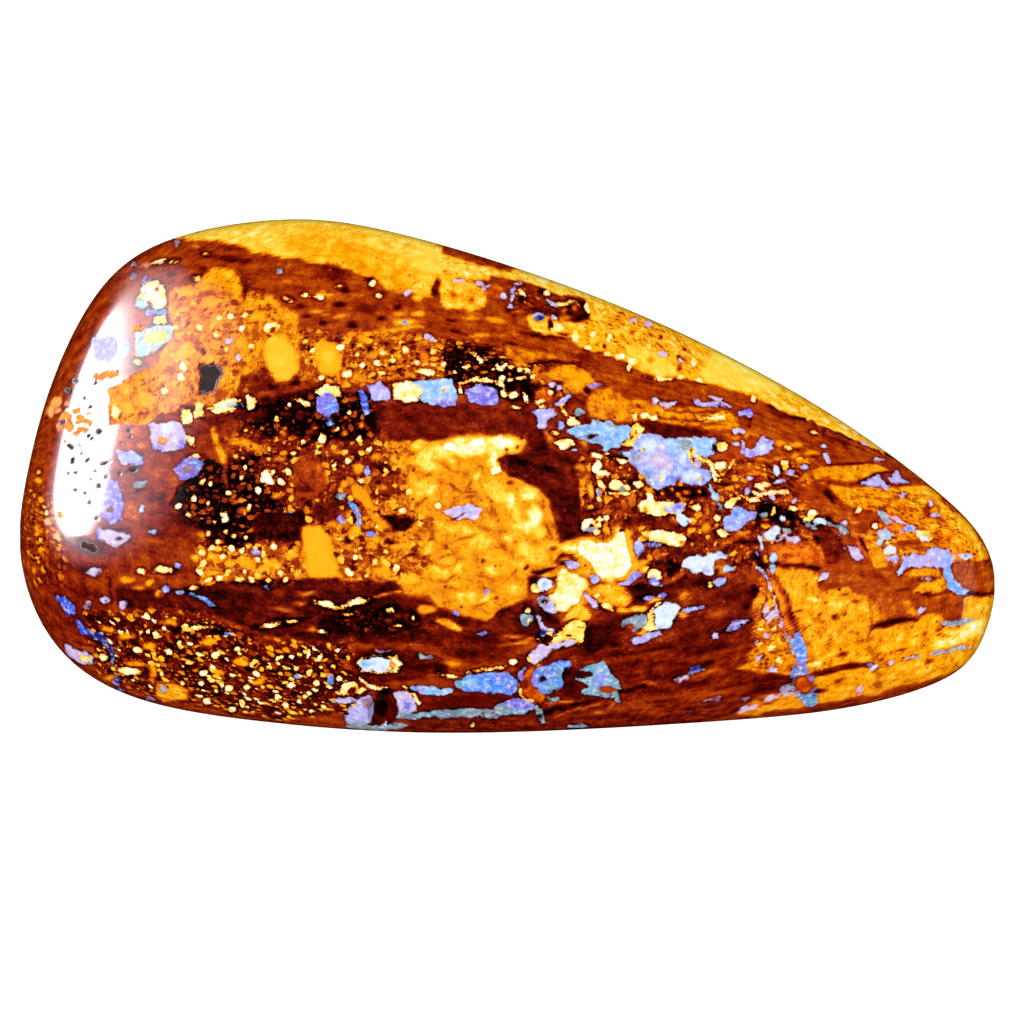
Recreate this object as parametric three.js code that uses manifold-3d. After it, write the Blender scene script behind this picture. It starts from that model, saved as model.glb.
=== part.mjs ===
// A polished boulder opal: one freeform stone of ironstone with opal in it, ground to a low dome
// with a flat back and a rounded edge. It lies on its back, face up.
// Units are millimetres, +Z is up, and the origin is the middle of the flat back.
import * as THREE from "three";
import { mergeVertices } from "three/addons/utils/BufferGeometryUtils.js";
import Module from "manifold-3d";

// Driving dimensions
const LENGTH = 40.6;
const WIDTH = 21.4;
const THICKNESS = 6.6;
const EDGE_HEIGHT = 1.9; // the widest line round the stone, above the back
const BACK_SHARE = 0.92; // the flat back's outline, as a share of the widest one
const DOME_FULLNESS = 2.3; // 2 is an ellipse, more is flatter on top
const FACE_SHARE = 0.93; // where the face's grid ends and the rings of the edge begin
const FACE_STEPS = [40, 22]; // squares along and across the face
const EDGE_STEPS = 8; // rings from the face down to the back
const DOME_TOP = new THREE.Vector2(-3, -1); // highest point of the face, seen from above

// The outline seen from above, anticlockwise from the narrow end.
const OUTLINE = [
  [20.28, -4.7], [19.72, -2.55], [17.55, -0.35], [13.05, 2.85], [7.05, 6.05], [1.05, 8.45],
  [-4.95, 10.22], [-9.45, 10.71], [-13.95, 9.92], [-17.0, 7.8], [-18.98, 4.0], [-20.02, 0.25],
  [-20.31, -3.4], [-18.86, -7.0], [-15.45, -9.25], [-9.95, -10.25], [-2.0, -10.69], [8.05, -10.25],
  [14.05, -9.65], [17.95, -8.55], [19.66, -7.0],
].map(([x, y]) => new THREE.Vector2(x, y));

// A natural hole in the lower edge: where its middle is, and its half sizes.
const HOLE_PLACE = new THREE.Vector3(-5.2, -9.9, 3.75);
const HOLE_HALF_SIZES = new THREE.Vector3(0.58, 1.1, 0.75);
const HOLE_TILT = THREE.MathUtils.degToRad(48); // it lies along the slope of the edge there

// A closed cubic B-spline at turn t, counted in points.
function splinePoint(control, t) {
  const n = control.length;
  const i = Math.floor(t);
  const f = t - i;
  const weights = [
    (1 - f) ** 3 / 6,
    (3 * f ** 3 - 6 * f ** 2 + 4) / 6,
    (-3 * f ** 3 + 3 * f ** 2 + 3 * f + 1) / 6,
    f ** 3 / 6,
  ];
  const at = new THREE.Vector2();
  weights.forEach((w, k) => at.addScaledVector(control[(i + k - 1 + n) % n], w));
  return at;
}

// Control points whose spline passes through the given points, found by correcting each in turn.
function controlThrough(points) {
  const control = points.map((p) => p.clone());
  for (let round = 0; round < 40; round++) {
    const missed = points.map((p, i) => p.clone().sub(splinePoint(control, i)));
    control.forEach((c, i) => c.add(missed[i]));
  }
  return control;
}

// Distance from the dome's top to the outline, as a function of direction.
function outlineReach(samples = 2000) {
  const control = controlThrough(OUTLINE);
  const reach = [];
  for (let i = 0; i < samples; i++) {
    const p = splinePoint(control, (i / samples) * OUTLINE.length).sub(DOME_TOP);
    reach.push([Math.atan2(p.y, p.x), p.length()]);
  }
  reach.sort((a, b) => a[0] - b[0]);
  const turn = 2 * Math.PI;
  const last = reach[samples - 1];
  const first = reach[0];
  reach.unshift([last[0] - turn, last[1]]);
  reach.push([first[0] + turn, first[1]]);
  return (angle) => {
    let low = 0;
    let high = reach.length - 1;
    while (high - low > 1) {
      const middle = (low + high) >> 1;
      if (reach[middle][0] <= angle) low = middle;
      else high = middle;
    }
    const share = (angle - reach[low][0]) / (reach[high][0] - reach[low][0]);
    return reach[low][1] + share * (reach[high][1] - reach[low][1]);
  };
}

// Height of the dome over its edge, as a share, at a share of the way out to the outline.
function domeShare(out) {
  return Math.sqrt(Math.max(0, 1 - out ** DOME_FULLNESS));
}

// The soft hand-ground unevenness of the face, none at its edge.
function swell(x, y, out) {
  return 0.16 * Math.sin(0.23 * x + 0.6) * Math.cos(0.3 * y - 0.5) * (1 - out * out);
}

// The section from the face's last ring down to the back: how far out, and how high.
function edgeSection(share) {
  const start = Math.acos(domeShare(FACE_SHARE));
  const angle = start + share * (Math.PI - start);
  if (angle < Math.PI / 2)
    return [Math.sin(angle) ** (2 / DOME_FULLNESS), EDGE_HEIGHT + (THICKNESS - EDGE_HEIGHT) * Math.cos(angle)];
  const under = angle - Math.PI / 2;
  return [1 - (1 - BACK_SHARE) * (1 - Math.cos(under)), EDGE_HEIGHT * (1 - Math.sin(under))];
}

// A square point spread evenly over a disc.
function squareToDisc(u, v) {
  return new THREE.Vector2(u * Math.sqrt(1 - (v * v) / 2), v * Math.sqrt(1 - (u * u) / 2));
}

// A subdivided box pulled to the stone's form: its top is the face, its sides the edge, its bottom the back.
function stoneGeometry() {
  const box = new THREE.BoxGeometry(2, 2, 2, ...FACE_STEPS, EDGE_STEPS);
  box.deleteAttribute("normal");
  box.deleteAttribute("uv");
  const reach = outlineReach();
  const at = box.getAttribute("position");
  for (let i = 0; i < at.count; i++) {
    const disc = squareToDisc(at.getX(i), at.getY(i));
    const level = at.getZ(i);
    const oval = new THREE.Vector2((disc.x * LENGTH) / 2, (disc.y * WIDTH) / 2);
    const angle = Math.atan2(oval.y, oval.x);
    let out = disc.length();
    let height = 0;
    if (level > 1 - 1e-6) {
      out *= FACE_SHARE;
      height = EDGE_HEIGHT + (THICKNESS - EDGE_HEIGHT) * domeShare(out);
    } else if (level < -1 + 1e-6) {
      out *= BACK_SHARE;
    } else {
      [out, height] = edgeSection((1 - level) / 2);
    }
    const p = new THREE.Vector2(Math.cos(angle), Math.sin(angle)).multiplyScalar(out * reach(angle)).add(DOME_TOP);
    if (height > EDGE_HEIGHT) height += swell(p.x, p.y, out);
    at.setXYZ(i, p.x, p.y, height);
  }
  return mergeVertices(box, 1e-4);
}

function holeGeometry() {
  const hole = new THREE.SphereGeometry(1, 16, 12);
  hole.deleteAttribute("normal");
  hole.deleteAttribute("uv");
  hole.scale(...HOLE_HALF_SIZES);
  hole.rotateX(HOLE_TILT);
  hole.translate(...HOLE_PLACE);
  return mergeVertices(hole, 1e-4);
}

const wasm = await Module();
wasm.setup();

function solidOf(geometry) {
  return new wasm.Manifold(
    new wasm.Mesh({
      numProp: 3,
      vertProperties: geometry.getAttribute("position").array,
      triVerts: new Uint32Array(geometry.index.array),
    }),
  );
}

function geometryOf(solid) {
  const mesh = solid.getMesh();
  return new THREE.BufferGeometry()
    .setAttribute("position", new THREE.BufferAttribute(mesh.vertProperties, 3))
    .setIndex(new THREE.BufferAttribute(mesh.triVerts, 1));
}

// Puts the middle of the back at the origin.
function centred(geometry) {
  geometry.computeBoundingBox();
  const middle = geometry.boundingBox.getCenter(new THREE.Vector3());
  return geometry.translate(-middle.x, -middle.y, -geometry.boundingBox.min.z);
}

const stone = new THREE.Mesh(
  centred(geometryOf(solidOf(stoneGeometry()).subtract(solidOf(holeGeometry())))),
  new THREE.MeshStandardMaterial({ color: 0x9c4a0e, roughness: 0.25, metalness: 0 }),
);
stone.geometry.computeVertexNormals();
stone.name = "opal_stone";

const part = new THREE.Group();
part.add(stone);

export default part;
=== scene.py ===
import math

import bpy
import numpy as np
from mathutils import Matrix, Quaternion, Vector, noise


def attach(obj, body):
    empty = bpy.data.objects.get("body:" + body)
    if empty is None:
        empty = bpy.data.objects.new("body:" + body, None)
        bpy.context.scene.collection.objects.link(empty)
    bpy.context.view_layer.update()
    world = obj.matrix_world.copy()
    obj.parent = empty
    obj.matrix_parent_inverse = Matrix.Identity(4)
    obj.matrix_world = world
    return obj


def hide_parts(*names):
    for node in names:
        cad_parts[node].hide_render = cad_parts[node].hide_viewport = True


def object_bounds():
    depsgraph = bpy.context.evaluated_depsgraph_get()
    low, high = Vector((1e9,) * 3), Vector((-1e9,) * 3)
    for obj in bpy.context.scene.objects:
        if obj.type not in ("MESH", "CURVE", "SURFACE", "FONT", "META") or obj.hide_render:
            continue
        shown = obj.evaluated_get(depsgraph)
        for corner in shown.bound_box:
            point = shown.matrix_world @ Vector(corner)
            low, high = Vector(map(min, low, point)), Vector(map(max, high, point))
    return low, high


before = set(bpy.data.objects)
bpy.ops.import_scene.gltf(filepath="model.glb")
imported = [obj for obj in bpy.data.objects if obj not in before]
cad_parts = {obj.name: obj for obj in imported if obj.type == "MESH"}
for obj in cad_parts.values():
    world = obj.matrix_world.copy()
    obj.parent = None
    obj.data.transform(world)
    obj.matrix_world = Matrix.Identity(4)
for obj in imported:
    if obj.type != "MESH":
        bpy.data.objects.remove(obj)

cad_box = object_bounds()

# A polished boulder opal, face up on its flat back. Lengths below are in millimetres and are
# turned into metres where the stone's mesh is written.
MM = 0.001
LENGTH = 40.6
WIDTH = 21.4
THICKNESS = 6.6
EDGE_HEIGHT = 1.9
BACK_SHARE = 0.92
DOME_FULLNESS = 2.3
FACE_SHARE = 0.985
FACE_STEPS = (408, 214)
EDGE_RINGS = 8
DOME_TOP = (-3.0, -1.0)
OUTLINE = (
    (20.28, -4.7), (19.72, -2.55), (17.55, -0.35), (13.05, 2.85), (7.05, 6.05), (1.05, 8.45),
    (-4.95, 10.22), (-9.45, 10.71), (-13.95, 9.92), (-17.0, 7.8), (-18.98, 4.0), (-20.02, 0.25),
    (-20.31, -3.4), (-18.86, -7.0), (-15.45, -9.25), (-9.95, -10.25), (-2.0, -10.69), (8.05, -10.25),
    (14.05, -9.65), (17.95, -8.55), (19.66, -7.0),
)
HOLE_PLACE = (-5.2, -9.9, 3.75)
HOLE_HALF_SIZES = (0.58, 1.1, 0.75)
HOLE_TILT = math.radians(48)

# The studio light on a level surface; colours are divided by it, so white paper is overexposed.
LIGHT = 1.25

# Levels of the stone's own colours, from burnt black ironstone to white.
BLACK = 0.03
DARK = 0.12
MAROON = 0.20
RUST = 0.31
COPPER = 0.41
ORANGE = 0.53
AMBER = 0.61
GOLD = 0.69
YELLOW = 0.78
PALE = 0.87
CREAM = 0.94
WHITE = 1.0

# Colours of the precious opal, as they look on a screen.
NAVY = (0.10, 0.13, 0.52)
ROYAL = (0.24, 0.36, 0.90)
BLUE = (0.36, 0.58, 0.96)
SKY = (0.60, 0.78, 0.98)
TEAL = (0.46, 0.66, 0.76)
STEEL = (0.52, 0.60, 0.66)
VIOLET = (0.52, 0.47, 0.90)
PERIWINKLE = (0.63, 0.68, 0.97)
LAVENDER = (0.72, 0.69, 0.96)
LILAC = (0.83, 0.74, 0.90)
MAUVE = (0.58, 0.42, 0.52)
ICE = (0.86, 0.91, 0.97)


# ---- the form of the stone

def spline_point(control, turn):
    count = len(control)
    first = int(math.floor(turn))
    part = turn - first
    weights = (
        (1 - part) ** 3 / 6,
        (3 * part ** 3 - 6 * part ** 2 + 4) / 6,
        (-3 * part ** 3 + 3 * part ** 2 + 3 * part + 1) / 6,
        part ** 3 / 6,
    )
    near = [control[(first + step - 1) % count] for step in range(4)]
    return np.array(weights) @ np.array(near)


def outline_reach():
    """Directions from the dome's top and how far the outline is in each."""
    wanted = np.array(OUTLINE)
    control = wanted.copy()
    for _ in range(40):
        control += wanted - np.array([spline_point(control, i) for i in range(len(control))])
    samples = 2000
    turns = [i * len(OUTLINE) / samples for i in range(samples)]
    points = np.array([spline_point(control, turn) for turn in turns]) - np.array(DOME_TOP)
    angle = np.arctan2(points[:, 1], points[:, 0])
    order = np.argsort(angle)
    return angle[order], np.hypot(points[:, 0], points[:, 1])[order]


def dome_share(out):
    return np.sqrt(np.maximum(0.0, 1 - out ** DOME_FULLNESS))


def edge_section(share):
    start = math.acos(float(dome_share(FACE_SHARE)))
    angle = start + share * (math.pi - start)
    if angle < math.pi / 2:
        out = math.sin(angle) ** (2 / DOME_FULLNESS)
        return out, EDGE_HEIGHT + (THICKNESS - EDGE_HEIGHT) * math.cos(angle)
    under = angle - math.pi / 2
    return 1 - (1 - BACK_SHARE) * (1 - math.cos(under)), EDGE_HEIGHT * (1 - math.sin(under))


def stone_blank():
    """A grid for the face, its border drawn down ring by ring for the edge, and one face for the back."""
    bpy.ops.object.select_all(action="DESELECT")
    bpy.ops.mesh.primitive_grid_add(x_subdivisions=FACE_STEPS[0], y_subdivisions=FACE_STEPS[1], size=2)
    blank = bpy.context.active_object
    blank.name = "polished_stone"
    blank.data.name = "polished_stone"
    bpy.ops.object.mode_set(mode="EDIT")
    bpy.ops.mesh.select_mode(type="EDGE")
    bpy.ops.mesh.select_all(action="DESELECT")
    bpy.ops.mesh.select_non_manifold()
    for _ in range(EDGE_RINGS):
        bpy.ops.mesh.extrude_edges_move(TRANSFORM_OT_translate={"value": (0, 0, -1)})
    bpy.ops.mesh.edge_face_add()
    bpy.ops.mesh.select_all(action="SELECT")
    bpy.ops.mesh.normals_make_consistent(inside=False)
    bpy.ops.object.mode_set(mode="OBJECT")
    return blank


def read_places(mesh):
    flat = np.empty(len(mesh.vertices) * 3, np.float32)
    mesh.vertices.foreach_get("co", flat)
    return flat.reshape(-1, 3).astype(float)


def pull_to_form(mesh):
    """Every corner of the blank goes to its place on the ground and polished stone."""
    at = read_places(mesh)
    u, v, level = at[:, 0], at[:, 1], -at[:, 2]
    disc_x = u * np.sqrt(1 - v * v / 2)
    disc_y = v * np.sqrt(1 - u * u / 2)
    angle = np.arctan2(disc_y * WIDTH, disc_x * LENGTH)
    out = np.hypot(disc_x, disc_y) * FACE_SHARE
    height = EDGE_HEIGHT + (THICKNESS - EDGE_HEIGHT) * dome_share(out)
    for ring in range(1, EDGE_RINGS + 1):
        here = np.abs(level - ring) < 0.5
        out[here], height[here] = edge_section(ring / EDGE_RINGS)
    directions, reaches = outline_reach()
    reach = np.interp(angle, directions, reaches, period=2 * math.pi)
    x = DOME_TOP[0] + out * reach * np.cos(angle)
    y = DOME_TOP[1] + out * reach * np.sin(angle)
    swell = 0.16 * np.sin(0.23 * x + 0.6) * np.cos(0.3 * y - 0.5) * (1 - out * out)
    height = np.where(height > EDGE_HEIGHT, height + swell, height)
    x -= (x.min() + x.max()) / 2
    y -= (y.min() + y.max()) / 2
    return x, y, height, out


def sink_hole(x, y, height):
    """The natural hole in the lower edge: corners over it drop to its floor."""
    half_x, half_y, half_z = HOLE_HALF_SIZES
    cos, sin = math.cos(HOLE_TILT), math.sin(HOLE_TILT)
    dx, dy = x - HOLE_PLACE[0], y - HOLE_PLACE[1]
    square = (sin / half_y) ** 2 + (cos / half_z) ** 2
    middle = dy * cos * sin * (1 / half_y ** 2 - 1 / half_z ** 2)
    rest = (dx / half_x) ** 2 + dy ** 2 * ((cos / half_y) ** 2 + (sin / half_z) ** 2) - 1
    under_root = middle ** 2 - square * rest
    floor = HOLE_PLACE[2] + (-middle - np.sqrt(np.maximum(under_root, 0))) / square
    roof = HOLE_PLACE[2] + (-middle + np.sqrt(np.maximum(under_root, 0))) / square
    inside = (under_root > 0) & (height > floor) & (height < roof + 0.05) & (height > EDGE_HEIGHT)
    return np.where(inside, floor, height), inside


# ---- the paint: every mark is laid where it lies on the face, in order

stone = stone_blank()
X, Y, Z, OUT = pull_to_form(stone.data)
Z, in_hole = sink_hole(X, Y, Z)


def drift(scale, amount, seed):
    """A wandering sideways shift that makes the marks' edges uneven."""
    shift = [noise.noise_vector(Vector((px * scale, py * scale, seed))) for px, py in zip(X, Y)]
    return np.array(shift)[:, :2] * amount


wander = drift(0.9, 0.13, 3.1) + drift(3.1, 0.075, 7.7)
MARK_X = X + wander[:, 0]
MARK_Y = Y + wander[:, 1]
heat = np.full(len(X), RUST)
pebble = np.zeros(len(X))
opal = np.full(len(X), -1.0)
tint = np.tile(np.array(LAVENDER), (len(X), 1))
cream = np.full(len(X), -1.0)
light = np.full(len(X), CREAM)
calm = np.zeros(len(X))
ember = np.zeros(len(X))
EDGE_SOFTNESS = 0.11


def near(left, right, low, high, margin=0.6):
    inside = (MARK_X > left - margin) & (MARK_X < right + margin)
    return np.nonzero(inside & (MARK_Y > low - margin) & (MARK_Y < high + margin))[0]


def spread_between(values, low, high):
    """Shares from 0 at the low value to 1 at the high one."""
    return np.clip((values - low) / (high - low), 0, 1)


def lay(tone, at, depth, steady=0.0):
    """Colours the places at, where depth is how far inside the mark's edge each is."""
    cover = np.clip(0.5 + depth / EDGE_SOFTNESS, 0, 1)
    wide = np.clip(0.5 + (depth + 0.12) / 0.2, 0, 1)
    if isinstance(tone, tuple):
        opal[at] = np.maximum(opal[at], depth)
        tint[at] = tint[at] * (1 - wide[:, None]) + np.array(tone) * wide[:, None]
        cream[at] = np.where(cover > 0, np.minimum(cream[at], -depth), cream[at])
        return
    opal[at] = np.where(cover > 0, np.minimum(opal[at], -depth), opal[at])
    pebble[at] *= 1 - 0.8 * cover
    calm[at] = calm[at] * (1 - cover) + steady * cover
    if tone >= 0.84:
        cream[at] = np.maximum(cream[at], depth)
        light[at] = light[at] * (1 - wide) + tone * wide
        return
    cream[at] = np.where(cover > 0, np.minimum(cream[at], -depth), cream[at])
    heat[at] = heat[at] * (1 - cover) + tone * cover


def patch_depth(at, corners):
    x, y = MARK_X[at], MARK_Y[at]
    closest = np.full(len(at), 1e9)
    inside = np.zeros(len(at), bool)
    for (ax, ay), (bx, by) in zip(corners, corners[1:] + corners[:1]):
        run, rise = bx - ax, by - ay
        along = np.clip(((x - ax) * run + (y - ay) * rise) / (run * run + rise * rise + 1e-12), 0, 1)
        closest = np.minimum(closest, np.hypot(x - ax - along * run, y - ay - along * rise))
        if by != ay:
            inside ^= ((ay > y) != (by > y)) & (x < run * (y - ay) / rise + ax)
    return np.where(inside, closest, -closest)


def patch(tone, *corners):
    xs, ys = zip(*corners)
    at = near(min(xs), max(xs), min(ys), max(ys))
    lay(tone, at, patch_depth(at, corners))


def streak(tone, half_width, *points):
    xs, ys = zip(*points)
    at = near(min(xs), max(xs), min(ys), max(ys))
    x, y = MARK_X[at], MARK_Y[at]
    lengths = [math.dist(a, b) for a, b in zip(points, points[1:])]
    total = sum(lengths)
    depth = np.full(len(at), -1e9)
    done = 0.0
    for (ax, ay), (bx, by), length in zip(points, points[1:], lengths):
        run, rise = bx - ax, by - ay
        along = np.clip(((x - ax) * run + (y - ay) * rise) / (length * length), 0, 1)
        taper = 1 - 0.45 * (2 * (done + along * length) / total - 1) ** 2
        depth = np.maximum(depth, half_width * taper - np.hypot(x - ax - along * run, y - ay - along * rise))
        done += length
    lay(tone, at, depth)


def bead_depth(bead):
    x, y, along = bead[:3]
    across = bead[3] if len(bead) > 3 else along
    turn = math.radians(bead[4]) if len(bead) > 4 else 0.0
    far = max(along, across)
    at = near(x - far, x + far, y - far, y + far)
    dx, dy = MARK_X[at] - x, MARK_Y[at] - y
    long_way = (dx * math.cos(turn) + dy * math.sin(turn)) / along
    short_way = (dy * math.cos(turn) - dx * math.sin(turn)) / across
    return at, (1 - np.hypot(long_way, short_way)) * min(along, across)


def beads(tone, *places):
    """Ovals: x, y, half size along, then across and the turn where it isn't round."""
    for place in places:
        at, depth = bead_depth(place)
        lay(tone, at, depth, 0.8)


def shade(tone, strength, *places):
    """Soft ovals that only warm or darken the stone's colour, mostly its own tone and at the lower right end also a
    painted sheen.
    """
    for place in places:
        at, depth = bead_depth(place)
        soft = min(place[2], place[3] if len(place) > 3 else place[2])
        cover = strength * np.clip(depth / soft * 1.5, 0, 1)
        heat[at] = heat[at] * (1 - cover) + tone * cover
        light[at] = light[at] * (1 - cover) + tone * cover


def redden(amount, *places):
    """Soft ovals where the stone is a redder orange."""
    for place in places:
        at, depth = bead_depth(place)
        soft = min(place[2], place[3] if len(place) > 3 else place[2])
        ember[at] = np.maximum(ember[at], amount * np.clip(depth / soft * 1.5, 0, 1))


def glow(tone, *places):
    """Soft ovals that only change the opal's colour."""
    for place in places:
        at, depth = bead_depth(place)
        soft = min(place[2], place[3] if len(place) > 3 else place[2])
        cover = np.clip(depth / soft * 2, 0, 1)[:, None]
        tint[at] = tint[at] * (1 - cover) + np.array(tone) * cover


def pebbles(amount, *corners):
    """An area of grains and small pebbles in the ironstone."""
    xs, ys = zip(*corners)
    at = near(min(xs), max(xs), min(ys), max(ys))
    cover = np.clip(0.5 + patch_depth(at, corners) / 0.5, 0, 1)
    pebble[at] = np.maximum(pebble[at], amount * cover)


def smooth(amount, *corners):
    """An area without grains or mottling."""
    xs, ys = zip(*corners)
    at = near(min(xs), max(xs), min(ys), max(ys))
    cover = amount * np.clip(0.5 + patch_depth(at, corners) / 0.2, 0, 1)
    calm[at] = np.maximum(calm[at], cover)
    pebble[at] *= 1 - cover


def ring(tone, inside_tone, x, y, radius, core):
    beads(tone, (x, y, radius * 1.15, radius * 0.9, 20))
    beads(inside_tone, (x + 0.35 * radius, y - 0.2 * radius, core * 1.2, core * 0.8, 50))


# Great areas of the left end
patch(0.73, (-14.2, 9.9), (-13.0, 9.75), (-12, 9.72), (-11, 9.55), (-10.5, 9.3), (-10, 9.2), (-9, 9.0),
      (-8, 8.8), (-7.2, 8.75), (-6.5, 8.5), (-6, 8.3), (-5.3, 8.1), (-5, 7.7), (-4.3, 7.4), (-3.2, 7.3),
      (-2.9, 7.8), (-2.7, 8.2), (-2.5, 9.2), (-2, 10.5), (-8, 12), (-14.5, 11))
shade(AMBER, 0.8, (-6.5, 9.6, 1.6, 1.6), (-8.6, 9.6, 1.3, 0.7), (-4.6, 8.2, 0.9, 0.8), (-7.5, 10.4, 3, 0.5))
shade(0.80, 0.9, (-11.2, 9.85, 2.2, 0.6, 5), (-9.6, 9.5, 1.0, 0.4, -15))
shade(GOLD, 0.6, (-12.6, 9.95, 0.6, 0.15), (-10.2, 10.2, 0.8, 0.15))
beads(YELLOW, (-3.3, 9.0, 0.9, 0.62, -15), (-5.6, 9.7, 0.4, 0.25), (-9.4, 9.25, 0.5, 0.2, -20))
shade(ORANGE, 0.7, (-5.9, 8.6, 0.8, 0.3, -20), (-4.5, 7.75, 0.5, 0.3), (-3.6, 10.1, 1.2, 0.3, -15))
patch(0.60, (-14, 7.7), (-13, 8), (-12.3, 8.6), (-11.5, 8.6), (-11, 8.2), (-10.9, 7.6), (-10, 7.3),
      (-9.3, 6.8), (-8.8, 6.7), (-8.6, 6.1), (-8.4, 5.2), (-8.6, 4.2), (-9.6, 3.9), (-10, 4.4), (-11, 4.0),
      (-11.3, 3.0), (-12.3, 2.9), (-13.3, 3), (-13.7, 2.6), (-14.3, 2.6), (-15, 2.1), (-16.5, 2.1),
      (-16.5, 3.6), (-15.6, 4.2), (-14.8, 4.4), (-14.2, 5.2), (-13.9, 6.2), (-14.1, 7.0))
patch(0.56, (-8.6, 6.0), (-6, 5.9), (-4.6, 6.2), (-2.5, 5.9), (-2.4, 5.0), (-2.7, 4.0), (-4, 3.95),
      (-6.5, 3.75), (-8.6, 3.9))
patch(DARK, (-2.6, 5.3), (-1.4, 5.4), (0.2, 4.5), (1.3, 3.9), (1.2, 3.2), (0, 3.15), (-1.5, 3.8), (-2.6, 3.9))
patch(DARK, (-11, 3.0), (-9.5, 3.5), (-8, 3.55), (-5.3, 3.4), (-5.2, 1.6), (-7, 1.3), (-9.5, 1.4), (-11, 2.3))
patch(0.09, (-12.9, 0.1), (-12.4, 0.7), (-11.6, 0.4), (-10.4, 0.9), (-9, 0.5), (-8.7, -1.2), (-10.2, -1.6),
      (-10.4, -2.8), (-11.4, -3.1), (-12.6, -2.6), (-13.2, -1.7), (-13.9, -1.2), (-13.6, -0.5))
patch(0.36, (-10.2, 1.6), (-7, 1.5), (-5, 1.4), (-4.2, 0), (-4.4, -1.6), (-6.8, -3.2), (-10.2, -3.0),
      (-9.2, -1.2), (-10.3, -0.2))
patch(0.58, (-12.9, -3.0), (-10, -2.9), (-8.5, -2.9), (-7.0, -1.6), (-5.3, -1.0), (-4.2, -0.6), (-4.6, 0.4),
      (-5.4, 1.2), (-4.5, 1.45), (-3.5, 1.4), (-2.7, 1.5), (-1.8, 1.62), (0, 1.68), (0.6, 1.62), (0.78, 1.5),
      (0.6, 1.2), (0.4, 1.02), (-0.2, 0.9), (-0.5, 0.7), (-0.2, 0.2), (0.1, -0.1), (0.3, -0.15),
      (0.8, -0.3), (1.2, -0.55), (1.7, -0.9), (1.75, -1.5), (1.95, -2.0), (2.05, -2.6), (2.4, -2.9),
      (3.4, -3.6), (3.5, -5.3), (2.2, -5.7), (1.5, -4.3), (0.85, -4.3), (0.75, -5.0), (0, -5.45),
      (-0.7, -5.9), (-1.3, -5.95), (-2, -5.7), (-2.7, -5.4), (-3.2, -4.95), (-4.3, -4.9), (-4.6, -4.3),
      (-7, -4.3), (-10, -4.25), (-12.6, -4.5))
patch(0.17, (-16.2, -4.7), (-13, -4.55), (-10, -4.3), (-4.7, -4.35), (-4.2, -5.0), (-3.4, -5.1), (-2.2, -5.8),
      (-0.9, -6.0), (0, -5.5), (0.9, -5.1), (2.0, -5.7), (2.2, -6.2), (1.6, -6.9), (0.2, -7.0), (-2.5, -7.0),
      (-6, -6.9), (-10, -6.6), (-11.5, -5.9), (-13, -5.6), (-16, -5.5))
patch(0.31, (-17.6, -5.9), (-13, -5.7), (-10.5, -6.3), (-9.5, -6.9), (-6.4, -7.1), (-6.2, -8.4), (-5.4, -10.6),
      (-9.5, -10.4), (-14.5, -9.4), (-17, -8.2))
pebbles(1.0, (-17.6, -5.7), (-13, -5.6), (-10, -6.8), (-6.4, -7.0), (-6.2, -9.8), (-9.5, -10.2), (-14.5, -9.2),
        (-17, -8.2))
pebbles(0.75, (-10.8, 3.0), (-8, 3.4), (-5.3, 3.3), (-5.4, 1.5), (-4.2, 1.2), (-4.3, -1.6), (-6.8, -3.2),
        (-11.4, -3.0), (-12.6, -2.6), (-13.6, -0.8), (-12.6, 0.5), (-11.6, 0.6))
pebbles(0.8, (-8.6, 6.1), (-6, 5.9), (-2.5, 6.0), (0, 5.0), (4.0, 4.6), (4.0, 3.4), (1, 3.2), (-1.5, 3.8),
        (-8.6, 3.8))
pebbles(0.75, (-12.8, -2.9), (-7, -1.6), (-4.6, -0.6), (-3.0, -2.0), (-3.2, -4.2), (-12.6, -4.5))
pebbles(0.35, (-14, 7.7), (-11, 8.2), (-8.8, 6.6), (-8.6, 4.0), (-11.3, 3.0), (-16.5, 2.1), (-14, 5))

# Great areas of the right end
patch(0.75, (-3, 8.1), (-0.5, 8.3), (0, 8.2), (1.4, 7.95), (2.0, 7.65), (2.6, 7.45), (3.2, 7.3), (3.3, 6.9),
      (3.4, 6.5), (2.9, 6.35), (1.6, 6.6), (0.8, 6.6), (0.8, 6.3), (1.2, 5.95), (1.6, 5.85), (2.1, 5.8),
      (2.6, 5.62), (3, 5.33), (3.4, 5.15), (3.8, 5.02), (4.2, 4.92), (4.9, 4.66), (5.3, 4.4), (5.9, 4.22),
      (6.3, 4.12), (7, 4.15), (7.4, 3.97), (8, 3.85), (8.6, 3.76), (9.2, 3.6), (10, 3.4), (10.6, 3.1),
      (11, 2.85), (11.6, 2.6), (12, 2.48), (12.5, 2.25), (13.1, 2.05), (13.5, 1.9), (14, 1.6), (14.6, 1.45),
      (14.9, 1.3), (15.3, 1.2), (15.8, 1.0), (16.2, 0.85), (16.4, 1.5), (10, 6), (0, 10), (-3, 10.5))
pebbles(0.45, (0, 8), (3, 7.3), (6, 6.6), (9, 5), (11, 3.8), (13, 2.6), (10, 3.5), (7, 4.3), (3.4, 5.3), (3, 6.3),
        (0.3, 7.0))
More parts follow.
